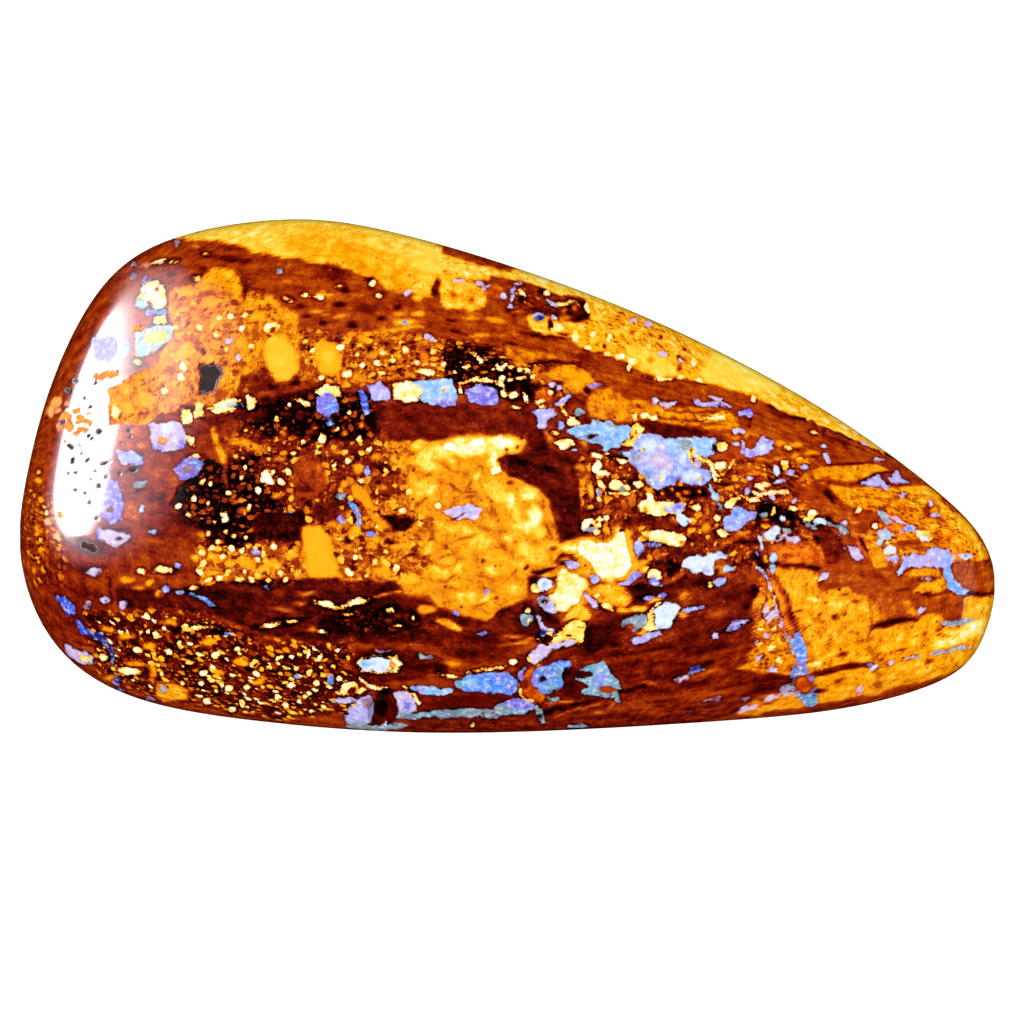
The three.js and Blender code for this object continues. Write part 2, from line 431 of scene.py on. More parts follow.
patch(0.34, (0, 5.97), (1.0, 5.93), (1.5, 5.8), (2.1, 5.75), (2.6, 5.58), (3, 5.28), (3.4, 5.1), (4.2, 4.86),
      (5.3, 4.35), (6.3, 4.06), (7.4, 3.9), (9.2, 3.55), (10.6, 3.05), (12, 2.42), (13.5, 1.85), (15, 1.22),
      (16.4, 0.75), (16, 0.5), (15, 0.5), (13.4, 0.45), (12.9, 0.75), (12.3, 1.1), (11.9, 1.5), (11.2, 1.6),
      (10.3, 2.1), (9.2, 2.9), (7.0, 3.0), (5, 3.4), (4.0, 3.6), (3.5, 4.15), (3.05, 4.4), (3, 4.95),
      (2, 5.05), (1, 5.25), (0, 5.4))
shade(0.36, 0.8, (2.2, 5.4, 1.2, 0.3, -12), (4.5, 4.0, 0.9, 0.7), (8.5, 3.3, 2.5, 0.4, -8), (12.3, 1.9, 1.6, 0.3, -20),
      (15, 0.9, 1.2, 0.25, -12))
shade(0.19, 0.8, (11.3, 2.6, 0.9, 0.3, -22), (3.2, 4.9, 0.4, 0.5), (13.8, 1.4, 0.9, 0.2, -20))
patch(0.38, (9, 2.3), (10.5, 2.0), (12.3, 1.0), (12.9, 0.5), (12.6, 0), (13.4, -1.1), (15.3, -1.6), (15.3, -2.2),
      (14.2, -2.4), (14.1, -3.7), (12.8, -3.7), (10.3, -3.3), (8.8, -3.2), (5.2, -2.9), (3.0, -2.4), (3.0, 0.8),
      (4.8, 0.9), (9, 1.0))
patch(0.64, (13.2, -0.5), (14.2, -0.5), (17.3, -0.45), (18.2, -1.1), (19.5, -2.2), (20.1, -3.4), (18.4, -3.6),
      (15.8, -3.6), (15.2, -3.5), (14.4, -2.5), (15.4, -2.2), (15.5, -1.5), (14.6, -1.4), (13.8, -0.95))
patch(AMBER, (11.1, -3.8), (11.9, -3.8), (12.9, -4.05), (12.8, -4.7), (13.5, -4.78), (14.1, -4.7), (14.9, -5.0),
      (15.35, -5.35), (15.45, -6.0), (15.1, -6.3), (17.0, -5.95), (17.3, -5.72), (17.8, -5.7), (18.3, -6.05),
      (18.9, -6.0), (19.0, -5.0), (20.6, -4.9), (20.4, -6.5), (19.3, -7.9), (18.4, -8.2), (17.3, -8.55),
      (16, -8.85), (15.5, -9.0), (14.5, -9.15), (13.8, -9.38), (12.9, -9.52), (10.3, -9.95), (9.4, -9.92),
      (9.8, -9.6), (10.3, -9.35), (11.0, -9.0), (11.9, -8.9), (12.0, -8.2), (10.4, -8.15), (9.5, -8.0),
      (10.0, -7.7), (9.9, -7.4), (10.1, -7.0), (10.05, -6.4), (10.2, -6.0), (10.1, -5.2), (10.35, -4.3))
patch(0.38, (12.9, -3.65), (14.4, -3.7), (15.5, -3.85), (16.2, -4.0), (17.0, -4.3), (18.0, -4.1), (18.8, -3.6),
      (20.2, -3.6), (20.5, -4.8), (18.9, -5.0), (18.9, -5.6), (18.5, -5.95), (17.9, -5.68), (17.3, -5.66),
      (15.45, -6.1), (15.5, -5.4), (15.0, -4.95), (14.1, -4.6), (13.0, -4.75))
shade(0.34, 0.8, (17.5, -5.3, 1.4, 0.4), (19.4, -4.2, 0.7, 0.5), (15.6, -4.5, 0.6, 0.2))
patch(0.23, (3.6, -5.9), (5, -5.0), (7.4, -4.5), (9, -4.3), (10.2, -4.5), (10.1, -5.2), (10.2, -6.0), (10.05, -6.4),
      (10.1, -7.0), (9.9, -7.4), (10.0, -7.7), (9.4, -8.0), (11.9, -8.3), (11.6, -8.8), (10.3, -9.2),
      (9.4, -9.9), (8, -10.4), (2, -10.9), (-4, -10.9), (-4, -9.2), (-3, -8.9), (0.4, -8.9), (0.2, -7.5), (2.0, -6.9))
pebbles(0.6, (2.9, 0.9), (5.0, 0.9), (5.9, -0.2), (8.4, -0.2), (8.8, 0.6), (10.6, 0.6), (12.6, 0.5), (12.4, -2.0),
        (13.4, -3.0), (9, -4.1), (5.6, -4.2), (5.1, -2.7), (2.9, -2.4))
pebbles(0.5, (13.4, -0.6), (17.5, -0.6), (19.4, -2.4), (20, -3.6), (16, -3.6), (14.4, -2.6), (15.5, -1.6))
pebbles(0.5, (10.3, -4.3), (11.2, -4.6), (11.9, -8.1), (10, -8.1))

# Upper left: rust band, pale opal steps and amber
streak(0.31, 0.55, (-16.2, 8.4), (-14, 9.2), (-12, 9.25), (-10.2, 8.6), (-8, 8.35), (-6.2, 7.8))
shade(0.36, 0.9, (-14.3, 9.4, 0.6, 0.25), (-9.3, 8.3, 0.8, 0.3, -15), (-13.1, 9.0, 0.5, 0.2))
shade(0.18, 0.8, (-7.2, 8.35, 1.0, 0.35, -15), (-11.3, 8.95, 0.8, 0.15))
streak(CREAM, 0.07, (-14.8, 8.9), (-14.2, 9.0))
streak(CREAM, 0.06, (-14.05, 8.92), (-13.75, 8.98))
streak(PALE, 0.06, (-12.7, 9.2), (-12.3, 9.18))
streak(ORANGE, 0.07, (-13.2, 9.55), (-12.8, 9.5))
streak(ORANGE, 0.07, (-15.2, 8.8), (-14.8, 8.9))
beads(MAUVE, (-13.8, 9.65, 0.1), (-15.55, 8.85, 0.1), (-15.55, 8.3, 0.12), (-15.1, 8.3, 0.1))
streak(VIOLET, 0.07, (-15.2, 8.05), (-14.6, 8.05))
beads(DARK, (-13.9, 8.4, 0.22, 0.15), (-12.7, 8.55, 0.15, 0.1), (-11.7, 9.0, 0.35, 0.08), (-12.5, 6.9, 0.08),
      (-13.2, 6.35, 0.08), (-11.3, 7.2, 0.1, 0.06), (-12.6, 5.2, 0.1), (-11.6, 4.6, 0.08), (-13.0, 3.6, 0.08))
streak(DARK, 0.09, (-11.0, 8.2), (-10.85, 7.75), (-10.9, 7.3))
beads(COPPER, (-13.95, 4.35, 0.28, 0.22), (-14.7, 4.75, 0.2), (-12.4, 7.6, 0.3, 0.15), (-11.6, 6.2, 0.25, 0.12),
      (-12.9, 5.6, 0.3, 0.15), (-10.4, 5.8, 0.2, 0.3), (-13.4, 7.1, 0.25, 0.12), (-11.9, 3.35, 0.3, 0.15))
beads(GOLD, (-12.3, 7.2, 0.35, 0.25), (-11.2, 7.7, 0.25), (-13.3, 5.1, 0.3), (-12.0, 6.5, 0.3, 0.2), (-10.3, 6.6, 0.3, 0.2),
      (-13.2, 7.6, 0.3, 0.18), (-12.4, 4.9, 0.3, 0.2), (-14.9, 3.2, 0.4, 0.25), (-15.8, 2.8, 0.3), (-10.9, 5.4, 0.25))
beads(CREAM, (-11.9, 6.55, 0.14, 0.1), (-11.45, 6.6, 0.12), (-10.9, 6.65, 0.15, 0.1), (-11, 6.05, 0.12), (-12, 5.85, 0.14),
      (-13.75, 6.15, 0.16, 0.12), (-12.9, 8.2, 0.12, 0.08), (-13.4, 4.5, 0.14), (-13.5, 4.05, 0.16), (-14.2, 3.5, 0.1),
      (-11.6, 5.2, 0.1), (-12.7, 6.1, 0.1), (-10.5, 5.3, 0.1))
beads(LILAC, (-11.5, 5.5, 0.12, 0.08), (-11.1, 4.9, 0.1))
beads(YELLOW, (-11.6, 8.3, 0.2, 0.14))
patch(CREAM, (-15.15, 8.0), (-14.5, 8.15), (-14.2, 7.75), (-14.15, 7.0), (-14.6, 6.95), (-14.75, 7.35), (-15.1, 7.0), (-15.45, 7.3),
      (-15.2, 7.55))
beads(0.30, (-14.55, 7.72, 0.13, 0.1), (-15.0, 7.6, 0.12, 0.08), (-14.35, 7.35, 0.1, 0.07))
patch((0.70, 0.77, 0.84), (-15.45, 7.2), (-15.1, 7.35), (-14.9, 7.1), (-15.2, 6.95))
patch(CREAM, (-14.8, 7.05), (-14.3, 7.4), (-14.1, 7.25), (-14.35, 6.98))
patch(BLUE, (-15.0, 6.9), (-14.25, 6.92), (-14.2, 6.7), (-14.95, 6.68))
glow(VIOLET, (-14.9, 6.8, 0.25))
patch(CREAM, (-14.65, 6.62), (-14.15, 6.6), (-14.15, 6.28), (-14.6, 6.28))
beads(SKY, (-15.2, 7.05, 0.16, 0.12))
streak(YELLOW, 0.08, (-15.5, 6.15), (-15.0, 6.15))
patch((0.66, 0.74, 0.74), (-15.45, 5.9), (-14.9, 6.1), (-14.3, 6.25), (-13.9, 6.15), (-13.95, 5.7), (-14.4, 5.25), (-14.9, 4.95), (-15.4, 4.9))
patch(0.86, (-15.0, 5.85), (-14.4, 6.05), (-14.05, 5.95), (-14.15, 5.6), (-14.6, 5.4), (-14.95, 5.5))
glow(SKY, (-15.1, 5.2, 0.35, 0.2))
glow(STEEL, (-15.2, 5.7, 0.2))
beads(CREAM, (-15.4, 4.7, 0.16, 0.1), (-13.7, 6.15, 0.12))
patch(LAVENDER, (-17.2, 5.75), (-16.3, 5.85), (-16.15, 5.2), (-16.4, 4.7), (-17.1, 4.8))
patch(ROYAL, (-16.0, 5.65), (-15.7, 5.6), (-15.7, 4.95), (-15.95, 4.9))
streak(DARK, 0.05, (-16.05, 5.75), (-15.65, 5.7))
streak(AMBER, 0.12, (-17.2, 4.1), (-16.6, 4.25), (-16.1, 4.3))
patch(0.04, (-12.8, 4.7), (-12.05, 4.7), (-11.7, 4.2), (-12, 3.9), (-12.1, 3.5), (-12.7, 3.4), (-12.65, 4.1))
streak(DARK, 0.06, (-16.6, 4.5), (-15.6, 4.4), (-14.9, 4.55))

# Left end below the pale steps
beads(AMBER, (-18.25, 2.45, 0.24, 0.2), (-17.9, 2.7, 0.2, 0.14), (-17.7, 2.35, 0.26, 0.18), (-18.1, 2.05, 0.2, 0.22),
      (-17.6, 1.95, 0.2, 0.14), (-17.35, 2.2, 0.16, 0.13), (-17.3, 2.6, 0.12, 0.09), (-18.45, 2.1, 0.14, 0.2),
      (-18.75, 3.05, 0.22, 0.26), (-18.95, 2.65, 0.16, 0.22), (-18.6, 2.7, 0.12, 0.1), (-17.85, 1.75, 0.13, 0.1))
beads(CREAM, (-17.95, 2.35, 0.12, 0.09), (-17.5, 2.1, 0.1, 0.07), (-18.2, 2.7, 0.09, 0.07))
beads(0.42, (-18.3, 2.25, 0.07), (-17.75, 2.1, 0.06), (-18.0, 2.6, 0.07, 0.05), (-17.45, 2.4, 0.06))
beads(CREAM, (-16.25, 2.55, 0.17, 0.25))
streak(CREAM, 0.07, (-17.1, 2.55), (-16.9, 2.85), (-16.7, 2.6))
patch(0.40, (-16.4, 1.9), (-15.2, 2.0), (-14.9, 1.3), (-15.4, 0.95), (-16.3, 1.0))
patch(PERIWINKLE, (-16.2, 0.95), (-15.5, 1.0), (-15.1, 0.8), (-15.2, 0.45), (-16.0, 0.4))
patch(VIOLET, (-16.9, -0.3), (-16.2, -0.25), (-15.9, -0.8), (-15.95, -1.8), (-16.4, -2.0), (-16.9, -1.6))
shade(MAROON, 0.8, (-13.6, -2.0, 1.6, 0.9), (-14.4, -0.9, 0.8, 0.4))
shade(COPPER, 0.7, (-15.4, -1.5, 0.7, 0.5), (-14.2, 0.1, 0.9, 0.4))
beads(0.05, (-15.5, 0.2, 0.28, 0.1, 20), (-16.1, 0.05, 0.09), (-16.6, -0.05, 0.08), (-16.7, 0.52, 0.26, 0.08, 25),
      (-17.25, -0.2, 0.1), (-17.3, -1.2, 0.1), (-17.7, 0.9, 0.08), (-18.1, 0.55, 0.08), (-18.3, 1.4, 0.08),
      (-17.2, 1.6, 0.1), (-17, -1.85, 0.09), (-15.1, 0.75, 0.08), (-15.7, 1.8, 0.1), (-15.55, 1.55, 0.07),
      (-15.2, -0.6, 0.3, 0.05, 10), (-16.0, 1.25, 0.12, 0.06), (-17.0, 0.1, 0.07), (-16.8, 1.2, 0.06))
beads(RUST, (-16.45, -1.4, 0.17), (-15.4, 1.25, 0.1))
beads(STEEL, (-15.2, -0.3, 0.2, 0.12))
beads(SKY, (-15.1, -1.4, 0.12), (-14.6, -2.3, 0.12, 0.08))
beads(ROYAL, (-16.8, -2.4, 0.12, 0.22))
patch(LILAC, (-16.75, -2.2), (-16.3, -2.25), (-15.6, -2.45), (-15.75, -2.75), (-16.2, -2.95), (-16.6, -2.7))
beads(DARK, (-16.05, -2.6, 0.22, 0.12))
streak(DARK, 0.05, (-16.7, -2.15), (-15.5, -2.3))
beads(0.04, (-18.3, 3.5, 0.12), (-18.0, 3.95, 0.13, 0.1), (-18.4, 2.2, 0.11), (-17.6, 3.3, 0.12, 0.09),
      (-18.15, 1.15, 0.2, 0.1, -50), (-17.75, 1.25, 0.12), (-17.9, 0.15, 0.13, 0.1), (-18.3, 0.1, 0.11), (-17.4, 0.6, 0.16, 0.1, 30),
      (-17.6, -0.75, 0.12), (-18.0, -0.6, 0.1), (-16.9, 1.9, 0.13), (-17.3, 2.9, 0.11), (-17.1, 3.9, 0.12),
      (-16.9, -0.55, 0.12, 0.1), (-18.05, 0.65, 0.17, 0.11, 70), (-17.35, 1.75, 0.12, 0.1))
beads(0.52, (-17.1, 4.2, 0.14), (-16.8, 4.05, 0.16, 0.1), (-16.4, 4.15, 0.14, 0.1), (-18.3, 3.0, 0.14, 0.1))
shade(0.36, 0.9, (-19.6, -1.5, 0.9, 3.0))
pebbles(0.5, (-20.0, -0.4), (-19.0, -0.6), (-18.4, -1.6), (-18.2, -3.0), (-18.6, -4.5), (-19.9, -4.6), (-20.2, -2.4))
shade(0.45, 0.7, (-19.2, -2.2, 0.7, 1.6, 20))
beads(GOLD, (-19.4, -1.0, 0.13), (-19.1, -1.9, 0.14, 0.1), (-19.5, -2.4, 0.12), (-18.7, -2.5, 0.12), (-19.3, -3.1, 0.15, 0.1),
      (-19.6, -3.9, 0.12), (-19.5, -0.2, 0.12), (-18.6, -1.6, 0.12))
beads(PALE, (-19.2, -1.6, 0.1), (-19.3, -1.3, 0.08), (-19.5, 0.2, 0.09), (-19.3, -2.7, 0.08), (-19.5, -3.4, 0.1, 0.07))
patch(LILAC, (-14.85, 2.1), (-14.2, 2.2), (-13.5, 2.1), (-13.25, 1.6), (-13.4, 1.2), (-14.1, 1.1), (-14.7, 1.2))
glow(VIOLET, (-14.5, 1.15, 0.3, 0.25), (-13.5, 1.3, 0.25))
glow(ICE, (-14.0, 1.95, 0.4, 0.25))
beads(AMBER, (-14.25, 1.5, 0.25, 0.18))
patch(CREAM, (-13.3, 1.7), (-12.9, 1.6), (-12.95, 1.2), (-13.2, 1.25))
patch(VIOLET, (-13.8, 0.3), (-13.4, 0.75), (-12.9, 0.72), (-12.6, 0.45), (-12.8, 0.0), (-13.4, -0.15))
glow(MAUVE, (-13.2, 0.3, 0.35, 0.25))
glow(BLUE, (-12.8, 0.5, 0.2))
beads(CREAM, (-12.9, 0.78, 0.2, 0.07))
patch(CREAM, (-13.4, 2.7), (-13.0, 2.75), (-12.95, 2.15), (-13.35, 2.1))
patch(PALE, (-12.8, 3.0), (-12.5, 3.02), (-12.5, 2.5), (-12.8, 2.5))
patch(CREAM, (-12.3, 2.85), (-11.8, 3.05), (-11.0, 3.2), (-10.9, 2.95), (-11.3, 2.65), (-11.9, 2.6))
streak(BLUE, 0.06, (-11.5, 2.85), (-10.95, 2.95))
patch(CREAM, (-10.75, 3.3), (-10.45, 3.3), (-10.45, 2.8), (-10.7, 2.75))
patch(0.17, (-12.6, 2.45), (-11, 2.6), (-9.9, 2.75), (-9.9, 2.5), (-11.2, 2.25), (-12.5, 2.15))
streak(AMBER, 0.18, (-12.15, 1.9), (-11.95, 1.2), (-11.75, 0.5))
streak(COPPER, 0.06, (-11.75, 0.5), (-11.4, -1.0))
streak(AMBER, 0.14, (-11.6, 1.6), (-10.8, 1.35), (-10.0, 1.0))
beads(CREAM, (-13.5, -1.25, 0.12), (-11.75, -1.6, 0.12, 0.08), (-11.7, -1.8, 0.1), (-10.3, -0.65, 0.12), (-11, -0.1, 0.1),
      (-12.2, -0.4, 0.09), (-12.9, -0.9, 0.08), (-11.3, -2.4, 0.1), (-12.1, -2.0, 0.08))
beads(0.92, (-12.6, -0.3, 0.1), (-12.3, -1.1, 0.09), (-11.5, -0.7, 0.1), (-10.9, 0.3, 0.1), (-13.1, -1.6, 0.1),
      (-12.4, -2.4, 0.1), (-11.6, -2.3, 0.11, 0.09), (-10.7, -1.4, 0.1), (-9.6, 0.1, 0.1), (-10.8, -2.5, 0.1))
beads(AMBER, (-11.1, -1.1, 0.16, 0.1), (-10.9, -1.5, 0.14), (-12.65, -2.4, 0.18, 0.1), (-10.6, -2.2, 0.15, 0.1),
      (-12.5, -1.5, 0.12, 0.08), (-11.9, -2.7, 0.2, 0.1))
patch(WHITE, (-10.15, -0.3), (-10.1, 0.1), (-9.85, 0.3), (-9.7, 0), (-9.7, -0.35))
beads(VIOLET, (-10.4, -3.15, 0.2, 0.15))
beads(GOLD, (-12.0, -3.4, 0.3, 0.15), (-10.8, -3.7, 0.35, 0.2), (-9.7, -3.6, 0.3, 0.2), (-11.3, -3.2, 0.2, 0.12),
      (-12.2, -4.0, 0.25, 0.12), (-9.0, -3.3, 0.25, 0.15))
beads(CREAM, (-12.6, -3.2, 0.12), (-12.2, -3.0, 0.14, 0.11), (-11.8, -3.35, 0.11), (-12.5, -3.6, 0.14), (-11.4, -2.95, 0.13),
      (-12.0, -2.7, 0.1), (-10.4, -3.0, 0.12), (-10.0, -3.2, 0.12, 0.15), (-9.6, -2.9, 0.1), (-11.9, -4.3, 0.12),
      (-12.7, -3.95, 0.1), (-9.9, -4.35, 0.13, 0.1), (-9.2, -4.3, 0.11), (-10.9, -4.0, 0.1))
beads(YELLOW, (-12.85, -3.45, 0.12), (-12.3, -3.35, 0.12), (-11.0, -3.45, 0.12), (-10.2, -3.9, 0.14), (-9.5, -3.75, 0.12),
      (-8.8, -3.0, 0.12), (-8.7, -4.1, 0.12), (-11.6, -3.7, 0.13))
beads(CREAM, (-11.2, -4.35, 0.16, 0.1), (-10.6, -4.3, 0.12), (-12.3, -4.25, 0.14, 0.09), (-11.6, -4.05, 0.12),
      (-10.3, -3.5, 0.12), (-9.4, -4.05, 0.12), (-8.9, -3.85, 0.1), (-11.0, -3.1, 0.1))
shade(0.23, 0.9, (-18.2, -5.4, 1.9, 2.1), (-17.6, -3.9, 1.2, 0.5))
shade(0.06, 0.85, (-17.3, -2.9, 1.1, 0.55, -15))
shade(0.42, 0.6, (-19.8, -4.0, 0.4, 1.0))
patch(ROYAL, (-18.8, -4.95), (-18.5, -5.0), (-18.0, -5.4), (-18.0, -5.8), (-18.3, -5.75), (-18.6, -5.4))
streak(NAVY, 0.1, (-17.85, -6.0), (-17.6, -6.4), (-17.1, -6.6), (-16.7, -6.85), (-16.4, -7.3), (-16.4, -7.9))
streak(ROYAL, 0.07, (-17.8, -6.1), (-17.5, -6.45), (-16.9, -6.7))
beads(NAVY, (-16.25, -8.5, 0.16, 0.2), (-16.15, -8.95, 0.2, 0.14), (-17.0, -6.6, 0.2, 0.14))
beads(LILAC, (-17.2, -4.0, 0.24, 0.15))
streak(DARK, 0.06, (-16.4, -4.2), (-16.3, -5.3))
beads(CREAM, (-15.2, -3.95, 0.16, 0.1), (-14.25, -3.9, 0.34, 0.12))
beads(YELLOW, (-14.8, -4.4, 0.14, 0.1))
beads(AMBER, (-15.7, -4.3, 0.22, 0.12), (-15.2, -4.6, 0.2, 0.08))
ring(GOLD, MAROON, -14.4, -4.9, 0.16, 0.08)
beads(PERIWINKLE, (-13.6, -3.75, 0.12), (-14.1, -4.7, 0.14), (-13.5, -4.8, 0.13, 0.08))
streak(BLUE, 0.06, (-13.1, -4.95), (-12.5, -5.25), (-12.1, -5.4))
beads(CREAM, (-13, -4.62, 0.2, 0.1))
ring(LILAC, MAROON, -15.85, -5.3, 0.16, 0.08)
ring(LILAC, RUST, -16.6, -5.2, 0.15, 0.07)
ring(MAUVE, RUST, -17.4, -5.4, 0.15, 0.07)
beads(CREAM, (-12.8, -6.35, 0.5, 0.06), (-15.3, -7.2, 0.14), (-15.65, -8.15, 0.5, 0.11, 5), (-13.2, -7.7, 0.14, 0.1),
      (-12.6, -8.15, 0.15), (-12.75, -8.65, 0.14), (-11.5, -8.8, 0.14), (-11.8, -8.7, 0.1), (-13.5, -8.6, 0.12),
      (-12.1, -9.0, 0.12), (-12.5, -9.4, 0.12), (-11, -9.45, 0.14), (-11.4, -9.8, 0.12), (-14.0, -7.3, 0.12),
      (-14.6, -6.5, 0.1), (-13.6, -6.9, 0.1), (-12.0, -7.4, 0.12), (-11.2, -7.2, 0.1), (-14.3, -8.2, 0.1))
beads(GOLD, (-16.6, -6.3, 0.3, 0.12), (-15.8, -6.6, 0.3, 0.12), (-13.9, -6.1, 0.4, 0.1), (-12.3, -6.9, 0.35, 0.14),
      (-11.0, -7.7, 0.3, 0.15), (-10.2, -8.6, 0.25, 0.15), (-11.9, -8.2, 0.25, 0.15), (-14.9, -7.0, 0.3, 0.15))
ring(CREAM, DARK, -10.5, -7.8, 0.18, 0.08)
beads(BLUE, (-11.6, -6.5, 0.12, 0.06))
patch(LILAC, (-18.4, -7.0), (-17.9, -7.2), (-17.3, -7.5), (-17.35, -7.9), (-17.9, -7.75), (-18.3, -7.4))
beads(CREAM, (-17.6, -7.6, 0.28, 0.16, -25), (-16.8, -7.6, 0.2, 0.14))
beads(AMBER, (-15.4, -7.8, 0.4, 0.14), (-14.7, -8.1, 0.14, 0.4), (-16.5, -8.4, 0.3, 0.12))
patch(GOLD, (-14.5, -8.6), (-13.8, -8.6), (-13.2, -8.9), (-13.3, -9.3), (-14.2, -9.3), (-14.6, -9.1))
beads(STEEL, (-14.25, -8.85, 0.12))
beads(MAUVE, (-14.8, -9.35, 0.3, 0.1, -15))
streak(RUST, 0.14, (-16.4, -9.0), (-14.5, -9.6), (-11, -10.3), (-7, -10.5))

# Upper middle: rust band, yellow ovals, pebbly amber
streak(0.35, 0.85, (-10, 7.9), (-7.6, 7.5), (-5.6, 6.9), (-3.2, 6.5), (-1, 6.3), (0.8, 6.15))
patch(0.35, (-9.5, 8.9), (-6.5, 8.4), (-5.2, 7.9), (-4.4, 7.3), (-3, 7.1), (-2.9, 5.9), (-4.6, 6.2), (-6, 6.0),
      (-8.5, 6.1), (-8.8, 6.7), (-10, 7.5))
shade(0.18, 0.9, (-7.2, 8.3, 1.0, 0.35, -12), (-5.9, 6.9, 0.8, 0.3, -10), (-8.6, 7.0, 0.5, 0.2))
shade(0.38, 0.8, (-8.2, 7.9, 0.8, 0.2, -8), (-6.3, 7.5, 0.7, 0.15, -10), (-5.0, 6.7, 0.7, 0.15, -8))
streak(CREAM, 0.06, (-9.3, 7.3), (-8.9, 7.3))
streak(CREAM, 0.06, (-8.0, 7.42), (-7.6, 7.4))
streak(YELLOW, 0.06, (-7.9, 7.55), (-7.3, 7.5))
beads(CREAM, (-8.4, 7.5, 0.1, 0.06), (-5.3, 7.5, 0.14, 0.08), (-5.6, 8.0, 0.12), (-7.0, 7.85, 0.1, 0.05))
beads(0.05, (-6.9, 7.1, 0.25, 0.12), (-6.7, 7.7, 0.16, 0.09), (-5.75, 8.2, 0.18, 0.1), (-6.5, 6.2, 0.2, 0.1),
      (-8.3, 6.55, 0.2, 0.08), (-5.2, 6.5, 0.2, 0.08), (-4.5, 7.0, 0.16, 0.08), (-7.6, 6.3, 0.15, 0.1))
streak(AMBER, 0.12, (-10, 7.4), (-9.3, 6.85), (-8.8, 6.7))
ring(CREAM, COPPER, -9.75, 6.1, 0.26, 0.15)
beads(AMBER, (-9, 6.35, 0.3, 0.15), (-7.7, 6.75, 0.4, 0.07, -8), (-6.9, 6.55, 0.35, 0.06), (-4.4, 6.75, 0.3, 0.06, -8))
beads(STEEL, (-9.4, 8.5, 0.12))
patch(0.72, (-9.95, 5.6), (-9.6, 5.85), (-9.2, 5.8), (-8.9, 5.4), (-8.75, 4.9), (-8.6, 4.4), (-9, 4), (-9.5, 3.95),
      (-9.9, 4.4), (-10.0, 5.0))
shade(YELLOW, 0.8, (-9.4, 4.7, 0.3, 0.25))
smooth(1, (-9.95, 5.6), (-9.2, 5.8), (-8.6, 4.4), (-9, 4), (-9.5, 3.95), (-10, 5))
patch(0.68, (-8.0, 5.3), (-7.7, 5.55), (-7.1, 5.5), (-6.8, 5.1), (-6.85, 4.5), (-7.2, 4.15), (-7.8, 4.25), (-8.05, 4.8))
shade(YELLOW, 0.7, (-7.4, 4.9, 0.3, 0.3))
smooth(1, (-8.0, 5.3), (-7.1, 5.5), (-6.8, 4.5), (-7.2, 4.15), (-7.8, 4.25))
beads(CREAM, (-8.05, 5.15, 0.12), (-6.95, 5.3, 0.15), (-8.3, 5.6, 0.12, 0.09), (-7.7, 4.05, 0.14), (-6.55, 4.2, 0.2, 0.14),
      (-5.2, 4.2, 0.16, 0.12), (-3.4, 4.3, 0.3, 0.13), (-5.35, 4.65, 0.12), (-4.2, 5.2, 0.12), (-4.75, 4.75, 0.1),
      (-3.7, 4.7, 0.12), (-6.2, 5.0, 0.12), (-5.9, 4.5, 0.1), (-3.0, 5.1, 0.12, 0.08), (-2.6, 4.6, 0.1))
beads(0.06, (-9.7, 3.7, 0.25, 0.12), (-8.7, 3.85, 0.18, 0.12), (-7, 5.65, 0.2, 0.1), (-6.4, 5.4, 0.12), (-5.6, 5.2, 0.14),
      (-5.0, 5.5, 0.2, 0.08), (-6.3, 4.65, 0.1), (-4.5, 4.3, 0.14, 0.08), (-3.9, 5.5, 0.15, 0.07))
beads(AMBER, (-5.9, 5.6, 0.3, 0.14), (-4.4, 5.75, 0.3, 0.12), (-5.5, 4.95, 0.2), (-4.6, 5.0, 0.15), (-3.4, 4.9, 0.2),
      (-6.1, 4.1, 0.2, 0.12), (-4.0, 4.1, 0.2, 0.1), (-3.3, 5.5, 0.25, 0.1))
streak(CREAM, 0.07, (-1.6, 5.1), (-1.3, 4.9), (-1.1, 4.7))
beads(CREAM, (-1.6, 4.5, 0.14, 0.1), (-0.25, 4.0, 0.14, 0.12), (-2.1, 4.3, 0.1), (-0.9, 3.95, 0.1))
streak(CREAM, 0.06, (-0.7, 4.4), (-0.45, 4.55), (-0.3, 4.4), (0, 4.6))
beads(YELLOW, (-4.15, 6.4, 0.5, 0.15), (-3.6, 6.7, 0.2, 0.1), (-3.7, 7.3, 0.22, 0.12))
beads(BLUE, (-4.15, 6.4, 0.1))
streak(AMBER, 0.07, (-5.3, 5.95), (-4.3, 6.1), (-3.4, 6.15))
beads(LILAC, (-3.3, 5.7, 0.12), (-3.1, 5.55, 0.1), (-4.15, 7.55, 0.12, 0.08))
patch(YELLOW, (-2.3, 8.55), (-1.9, 8.8), (-1.0, 8.7), (-0.5, 8.4), (-0.7, 8.1), (-1.6, 8.1), (-2.2, 8.2))
patch(0.74, (-2.8, 7.2), (-2.7, 8.1), (-2.2, 8.2), (-1.4, 8.0), (-0.9, 7.6), (-1.0, 7.0), (-1.8, 6.9), (-2.5, 6.9))
streak(RUST, 0.22, (-2.6, 9.3), (-1.3, 9.0), (0, 8.6))
patch(RUST, (-2.5, 9.2), (-0.2, 8.55), (0.5, 8.75), (0.9, 9.6), (-3.4, 10.9), (-3.0, 9.75))
beads(LILAC, (-2, 8.05, 0.16, 0.07), (-1.1, 7.95, 0.14, 0.07))
patch(0.44, (-0.95, 7.5), (-0.7, 7.85), (-0.3, 7.9), (-0.15, 7.55), (-0.4, 7.3), (-0.8, 7.3))
beads(LILAC, (-0.85, 7.75, 0.12, 0.07, 30), (-0.2, 7.4, 0.09))
streak(MAROON, 0.12, (-2.85, 8.1), (-3.05, 7.4))
streak(DARK, 0.06, (-2.5, 6.45), (-2.0, 6.35))
streak(DARK, 0.05, (-2.3, 5.95), (-1.7, 5.85))
